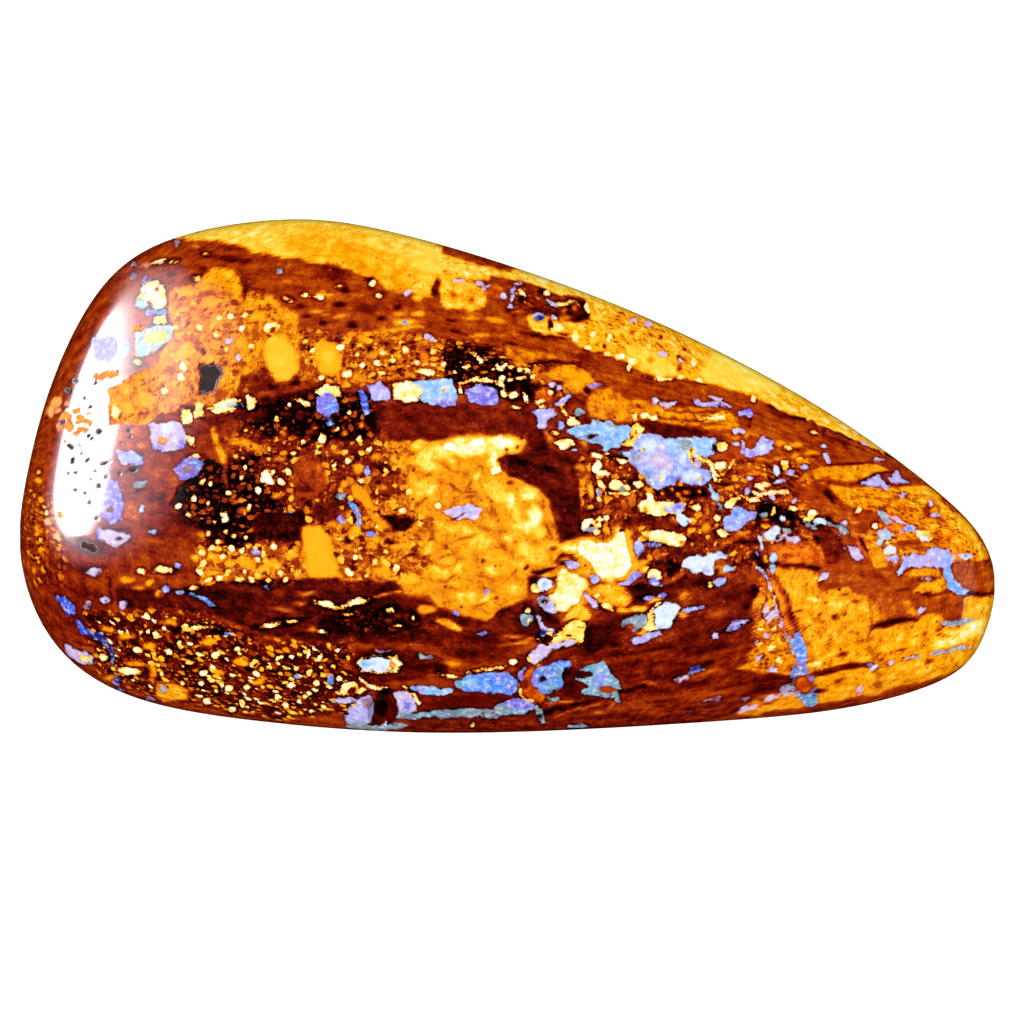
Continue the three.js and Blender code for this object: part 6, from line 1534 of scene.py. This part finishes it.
def sawn_back():
    material = new_material("sawn_ironstone_back")
    tree = material.node_tree
    place = add(tree, "ShaderNodeTexCoord").outputs["Object"]
    in_mm = add(tree, "ShaderNodeMapping", {"Vector": place, "Scale": (1000, 1000, 1000)}).outputs[0]
    flat = add(tree, "ShaderNodeMapping", {"Vector": in_mm, "Scale": (0.25, 1.6, 1.0)}).outputs[0]
    layers = add(tree, "ShaderNodeTexNoise", {"Vector": flat, "Scale": 0.8, "Detail": 6.0, "Roughness": 0.65, "Distortion": 0.4})
    grit = add(tree, "ShaderNodeTexNoise", {"Vector": in_mm, "Scale": 7.0, "Detail": 3.0, "Roughness": 0.7})
    tone = sum_of(tree, "ADD", spread(tree, layers.outputs["Fac"], 0.3, 0.7, 0.08, 0.40),
                  spread(tree, grit.outputs["Fac"], 0.3, 0.7, -0.05, 0.05))
    colour = colour_ramp(tree, tone, STONE_COLOURS)
    bump = add(tree, "ShaderNodeBump", {"Height": grit.outputs["Fac"], "Strength": 0.3, "Distance": 0.00003})
    shader = add(tree, "ShaderNodeBsdfPrincipled", {"Base Color": colour, "Normal": bump.outputs["Normal"]})
    shader.inputs["Roughness"].default_value = 0.55
    add(tree, "ShaderNodeOutputMaterial", {"Surface": shader.outputs[0]})
    return material


stone.data.materials.append(polished_face())
stone.data.materials.append(sawn_back())
for face in stone.data.polygons:
    if face.normal.z < -0.9 and face.center.z < 0.0001:
        face.material_index = 1

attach(stone, "root")
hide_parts("opal_stone")


# ---- floor, light and camera

bpy.ops.object.select_all(action="DESELECT")
bpy.ops.mesh.primitive_plane_add(size=4)
floor = bpy.context.active_object
floor.name = "pale_floor"
floor.visible_glossy = False
paper = new_material("pale_paper")
sheet = add(paper.node_tree, "ShaderNodeBsdfPrincipled")
sheet.inputs["Base Color"].default_value = (0.93, 0.93, 0.93, 1)
sheet.inputs["Roughness"].default_value = 0.9
sheet.inputs["Specular IOR Level"].default_value = 0.0
sheet.inputs["Emission Color"].default_value = (1, 1, 1, 1)
sheet.inputs["Emission Strength"].default_value = 0.45
add(paper.node_tree, "ShaderNodeOutputMaterial", {"Surface": sheet.outputs[0]})
floor.data.materials.append(paper)

WORLD_LIGHT = 0.55
world = bpy.data.worlds.new("studio")
bpy.context.scene.world = world
world.use_nodes = True
world.node_tree.nodes["Background"].inputs["Color"].default_value = (1, 1, 1, 1)
world.node_tree.nodes["Background"].inputs["Strength"].default_value = WORLD_LIGHT
world.cycles_visibility.glossy = False


def softbox(name, azimuth, from_vertical, roll, distance, long, short, radiance, colour, mirrored):
    """An oval soft light aimed at the stone, seen either mirrored in its polish or as light on it.

    Azimuth is counted from +X, anticlockwise from above; roll turns the oval's long way in its plane.
    """
    turn, fall = math.radians(azimuth), math.radians(from_vertical)
    way = Vector((math.sin(fall) * math.cos(turn), math.sin(fall) * math.sin(turn), math.cos(fall)))
    lamp = bpy.data.lights.new(name, "AREA")
    lamp.shape = "ELLIPSE"
    lamp.size = 2 * distance * math.tan(math.radians(long / 2))
    lamp.size_y = 2 * distance * math.tan(math.radians(short / 2))
    lamp.energy = radiance * lamp.size * lamp.size_y * math.pi * math.pi / 4
    lamp.color = colour
    holder = bpy.data.objects.new(name, lamp)
    bpy.context.scene.collection.objects.link(holder)
    holder.location = way * distance
    holder.rotation_mode = "QUATERNION"
    holder.rotation_quaternion = way.to_track_quat("Z", "Y") @ Quaternion((0, 0, 1), math.radians(roll))
    holder.visible_glossy = mirrored
    holder.visible_diffuse = not mirrored
    return holder


softbox("fill_above", 90, 0, 0, 0.6, 85, 85, 1.95, (1, 1, 1), False)
softbox("window_left", 160.5, 62, 48, 0.5, 45, 29, 28.0, (0.97, 0.98, 1.0), True)
for size in range(6):
    softbox("window_glow", 156.5 - 0.8 * size, 59 - 0.7 * size, 48, 0.52, 46 + 4 * size, 30 + 6.5 * size, 1.1, (0.95, 0.86, 1.0), True)
for size in range(3):
    softbox("sheen_right", 2, 68, 0, 0.5, 18 + 7 * size, 9 + 5 * size, 0.7, (1, 0.86, 0.82), True)

camera_data = bpy.data.cameras.new("camera")
camera = bpy.data.objects.new("camera", camera_data)
bpy.context.scene.collection.objects.link(camera)
bpy.context.scene.camera = camera
PICTURE_WIDTH_AT_EDGE = 42.083
LENS = 400.0
SENSOR = 36.0
camera_data.lens = LENS
camera_data.sensor_width = SENSOR
camera_data.sensor_fit = "HORIZONTAL"
camera_data.clip_start = 0.01
camera_data.clip_end = 20
camera_height = LENS / SENSOR * PICTURE_WIDTH_AT_EDGE + EDGE_HEIGHT
camera.location = (-0.096 * MM, -1.208 * MM, camera_height * MM)
bpy.context.scene.view_settings.view_transform = "Standard"
